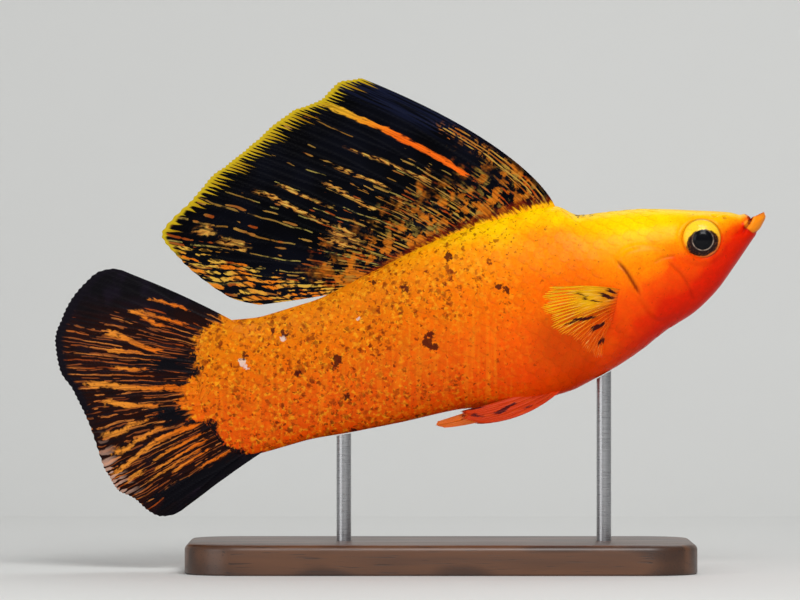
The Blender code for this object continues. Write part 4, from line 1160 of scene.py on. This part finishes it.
def amber_material(name, upper, lower, pale, stroke_colour, dark_strokes, clear, flank):
    """A light fin: one colour to another across the rays, black streaks, and clear skin between rays.

    Its root takes the body's markings there; flank is how low and how high the body reaches.
    """
    made, tree, shader = shaded(name, 0.4, 0.05, 0.2, 0.1)
    ray, place = attribute(tree, "ray"), attribute(tree, "place")
    across, along, on_ray = axes(ray)
    wobble, grit, fibre = fray(ray)
    colour = blend(window(across, 3.0, 9.0), upper, lower)
    colour = blend(window(along, 0.45, 0.1, 0.0, 0.6), colour, lower)
    mask, tone = streak_mask(ray, 3.0, 5.0, 0.5, 0.3, 17.0)
    colour = blend(mask * 0.5, colour, pale)
    colour = blend(fibre * 0.25, colour, rgb(206, 70, 6))
    dark = marks(across, along, dark_strokes, wobble, grit)
    shown = window(calc("MAXIMUM", on_ray, dark), 0.1, 0.7, clear, 1.0)
    # The skin between the upper rays is thick and coloured as far as the tips.
    thick = window(across, 6.4, 4.6) * window(along, 0.85, 0.4)
    shown = calc("MAXIMUM", shown, thick * 0.75)
    height_share = (axes(place)[2] - flank[0]) / (flank[1] - flank[0])
    root = window(along + grit * 0.25, 0.02, 0.16, 1.0, 0.0)
    colour = blend(root, colour, body_colour(place, height_share))
    colour = blend(dark, colour, stroke_colour)
    link(shown, shader.inputs["Alpha"])
    fin_finish(shader, ray, place, colour)
    return made


def paired_shape(root_line, edge, sides, bow, side):
    """The middle surface of a fin on one side of the fish, or on its midline where side is 0."""
    def shape(u, v):
        first, last = np.array(root_line[0]), np.array(root_line[1])
        root = first + (last - first) * u[:, None]
        flat = rays_between(root, edge_of(edge, u), bow[0] + (bow[1] - bow[0]) * u, v)
        sway = sides[0] + (sides[1] - sides[0]) * v[None, :] + 0.25 * v[None, :] * np.sin(4.0 * u)[:, None]
        return np.stack([flat[..., 0], side * sway, flat[..., 1]], axis=-1)
    return shape


breast_material = amber_material(
    "breast_fin_membrane", rgb(255, 198, 14), rgb(234, 98, 8), rgb(255, 222, 120), rgb(58, 6, 6),
    BREAST_STREAKS, 0.08, (-14.2, 9.0),
)
belly_material = amber_material(
    "belly_fin_membrane", rgb(204, 54, 5), rgb(186, 40, 5), rgb(232, 96, 20), rgb(84, 6, 6),
    BELLY_STREAKS, 0.85, (-16.0, 12.0),
)
rod_material = amber_material(
    "anal_rod_membrane", rgb(220, 104, 20), rgb(200, 70, 8), rgb(240, 170, 80), rgb(84, 6, 6),
    ROD_STREAKS, 0.85, (-16.0, 12.0),
)
for label, side, seed in (("left", 1, 41), ("right", -1, 42)):
    breast_shape = paired_shape(PECTORAL_ROOT, PECTORAL_EDGE, PECTORAL_SIDE, PECTORAL_BOW, side)
    fin("breast_fin_" + label, PECTORAL_RAYS, 40, breast_shape, breast_material,
        ("pectoral_fin_" + label,),
        forks=(0.45, 0.75), ray_height=0.1, root_half=0.1, notch=0.13, seed=seed)
    belly_shape = paired_shape(PELVIC_ROOT, PELVIC_EDGE, PELVIC_SIDE, PELVIC_BOW, side)
    fin("belly_fin_" + label, PELVIC_RAYS, 36, belly_shape, belly_material,
        ("pelvic_fin_" + label,),
        forks=(0.4, 0.7), ray_height=0.1, root_half=0.25, notch=0.06, seed=seed + 10)
rod_shape = paired_shape(ANAL_ROOT, ANAL_EDGE, (0.0, 0.0), ANAL_BOW, 0)
fin("anal_rod", ANAL_RAYS, 36, rod_shape, rod_material, ("gonopodium",),
    forks=(2.0, 3.0), ray_height=0.2, root_half=0.3, notch=0.02, seed=61)

# Stand. The base is one block of oiled walnut with rounded corners and an eased top edge. Two brushed
# steel rods are let into it and end under the belly.
wood_material, tree, shader = shaded("oiled_walnut", 0.42, 0.15, 0.25)
coords = out(node("ShaderNodeTexCoord", tree=tree), "Object")
long_way = stretched(coords, (22.0, 260.0, 260.0))
warp = noise(long_way, 1.0, 4.0, 0.6)
drawn = noise(stretched(coords, (9.0, 34.0, 34.0), (3.1, 0.4, 0.0)), 1.0, 3.0, 0.55)
bands = calc("FRACT", drawn * 11.0)
bands = window(bands, 0.0, 0.7) * window(bands, 0.8, 1.0, 1.0, 0.0)
pores = noise(stretched(coords, (180.0, 5200.0, 5200.0)), 1.0, 2.0, 0.5)
colour = ramp(bands, ((0.0, rgb(66, 40, 24)), (0.5, rgb(84, 52, 31)), (1.0, rgb(98, 62, 38))))
colour = blend(window(warp, 0.35, 0.7, 0.0, 0.5), colour, rgb(52, 30, 18))
pore = window(pores, 0.6, 0.7)
colour = blend(pore * 0.7, colour, rgb(30, 16, 9))
link(window(warp, 0.2, 0.8, 0.36, 0.5), shader.inputs["Roughness"])
dress(shader, colour, warp - pore, 0.25, 0.04 * MM)

steel_material, tree, shader = shaded("brushed_steel", 0.3)
shader.inputs["Metallic"].default_value = 1.0
coords = out(node("ShaderNodeTexCoord", tree=tree), "Object")
brush = noise(stretched(coords, (600.0, 600.0, 9000.0)), 1.0, 2.0)
link(window(brush, 0.2, 0.8, 0.24, 0.4), shader.inputs["Roughness"])
dress(shader, blend(brush, rgb(150, 150, 152), rgb(196, 196, 198)), brush, 0.2, 0.03 * MM)

BASE_CORNER = 8.0
BASE_ROUND = 0.9
ROD_SIDES = 48
BELLY_RINGS = slice(30, -14)               # of the skin, without the mouth and the tail root


def from_world(points):
    """Points in the model's own frame, in metres, as fish frame millimetres, which piece() takes."""
    rel = (np.asarray(points, float) - MOUTH) / MM
    behind = -rel[..., 0] * math.cos(PITCH) - rel[..., 2] * math.sin(PITCH)
    over = -rel[..., 0] * math.sin(PITCH) + rel[..., 2] * math.cos(PITCH)
    return np.stack([behind, rel[..., 1], over], axis=-1)


base_low, base_high = (np.array(c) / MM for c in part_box("stand_base"))
half_x, half_y = (base_high[0] - base_low[0]) / 2, (base_high[1] - base_low[1]) / 2
corner_turns = np.linspace(0, math.pi / 2, 15)
edge_turns = np.linspace(0, math.pi / 2, 7)
profile = [(0.25, 0.0), (0.0, 0.25)]       # how far in and how high each ring of the block lies
profile += [
    (BASE_ROUND * (1 - math.cos(t)), base_high[2] - BASE_ROUND * (1 - math.sin(t))) for t in edge_turns
]
loops = []
for inset, level in profile:
    loop = []
    for quarter, (sx, sy) in enumerate(((1, 1), (-1, 1), (-1, -1), (1, -1))):
        for t in corner_turns + quarter * math.pi / 2:
            loop.append((
                sx * (half_x - BASE_CORNER) + (BASE_CORNER - inset) * math.cos(t),
                sy * (half_y - BASE_CORNER) + (BASE_CORNER - inset) * math.sin(t), level,
            ))
    loops.append(loop)


def stand_piece(name, rings, material, stands_for):
    """A part of the stand from rings of points in the model's own frame, flat at both ends."""
    sides, last = len(rings[0]), (len(rings) - 1) * len(rings[0])
    faces = tube_faces(len(rings), sides)
    faces += [tuple(range(sides))[::-1], tuple(last + k for k in range(sides))]
    points = from_world(np.array(rings).reshape(-1, 3) * MM)
    piece(name, points, faces, material, (stands_for,), sharp=35)


stand_piece("stand_block", loops, wood_material, "stand_base")
belly = to_world(body[BELLY_RINGS, SIDES // 2]) / MM
belly = belly[np.argsort(belly[:, 0])]
turn = np.linspace(0, 2 * math.pi, ROD_SIDES, endpoint=False)
for label in ("front", "rear"):
    low, high = (np.array(c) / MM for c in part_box("stand_rod_" + label))
    radius = (high[0] - low[0]) / 2
    middle = (low + high) / 2
    xs, ys = middle[0] + radius * np.cos(turn), middle[1] + radius * np.sin(turn)
    # The top is filed to the slope of the belly.
    tops = np.interp(xs, belly[:, 0], belly[:, 2]) - 0.05
    feet = np.full(ROD_SIDES, base_high[2])
    rings = [np.stack([xs, ys, level], axis=-1) for level in (feet - 1.5, feet + 0.4, tops - 0.3, tops)]
    stand_piece("stand_pin_" + label, rings, steel_material, "stand_rod_" + label)

# Stage. A pale seamless sweep of paper curves up behind the model. Three soft lamps light it, and the
# camera stands square to the fish's right side.
sweep_material, tree, shader = shaded("pale_sweep", 0.8)
coords = out(node("ShaderNodeTexCoord", tree=tree), "Object")
link(blend(noise(coords, 6.0, 3.0), rgb(214, 214, 211), rgb(220, 220, 217)), shader.inputs["Base Color"])
facing = out(node("ShaderNodeNewGeometry", tree=tree), "Backfacing")
link(1.0 - facing, shader.inputs["Alpha"])
FLOOR_REACH = 4.0
SWEEP_START, SWEEP_TURN, SWEEP_HALF, SWEEP_TOP = 0.23, 0.22, 1.5, 1.3


def stage_piece(name, rows, half_width, material):
    """A pale surface through rows of distance back and height, which shows from its front only."""
    points = [(x, y, z) for y, z in rows for x in (-half_width, half_width)]
    made = bpy.data.meshes.new(name)
    made.from_pydata(points, [], [(2 * i, 2 * i + 1, 2 * i + 3, 2 * i + 2) for i in range(len(rows) - 1)])
    made.materials.append(material)
    made.shade_smooth()
    held = bpy.data.objects.new(name, made)
    bpy.context.scene.collection.objects.link(held)


stage_piece("floor", [(-FLOOR_REACH, 0.0), (FLOOR_REACH, 0.0)], FLOOR_REACH, sweep_material)
turns = np.linspace(0, math.pi / 2, 20)
curve = [(SWEEP_START + SWEEP_TURN * math.sin(t), -0.001 + SWEEP_TURN * (1 - math.cos(t))) for t in turns]
stage_piece("sweep", curve + [(SWEEP_START + SWEEP_TURN, SWEEP_TOP)], SWEEP_HALF, sweep_material)


def lamp(name, place, size, power):
    light = bpy.data.lights.new(name, "AREA")
    light.size = size
    light.energy = power
    made = bpy.data.objects.new(name, light)
    made.location = place
    made.rotation_euler = (Vector(LAMP_AIM) - Vector(place)).to_track_quat("-Z", "Y").to_euler()
    bpy.context.scene.collection.objects.link(made)


LAMP_AIM = (-0.005, 0.0, 0.04)
lamp("key_lamp", (0.11, -0.52, 0.44), size=0.3, power=3.2)
lamp("fill_lamp", (-0.5, -0.4, 0.2), size=0.4, power=1.1)
lamp("back_lamp", (0.1, 0.3, 0.45), size=0.3, power=0.6)
world = bpy.data.worlds.new("studio")
world.use_nodes = True
sky = world.node_tree.nodes["Background"].inputs
sky["Color"].default_value = (0.92, 0.95, 1.0, 1.0)
sky["Strength"].default_value = 0.28
bpy.context.scene.world = world
bpy.context.scene.view_settings.view_transform = "Standard"

VIEW_WIDTH = 0.12                          # what the frame spans at the fish, as the photograph does
VIEW_DISTANCE = 1.0
VIEW_CENTRE = (-0.00608, 0.04059)
camera = bpy.data.cameras.new("camera")
camera.sensor_width = 36.0
camera.lens = camera.sensor_width * VIEW_DISTANCE / VIEW_WIDTH
camera_object = bpy.data.objects.new("camera", camera)
camera_object.location = (VIEW_CENTRE[0], -VIEW_DISTANCE, VIEW_CENTRE[1])
camera_object.rotation_euler = (math.radians(90), 0, 0)
bpy.context.scene.collection.objects.link(camera_object)
bpy.context.scene.camera = camera_object
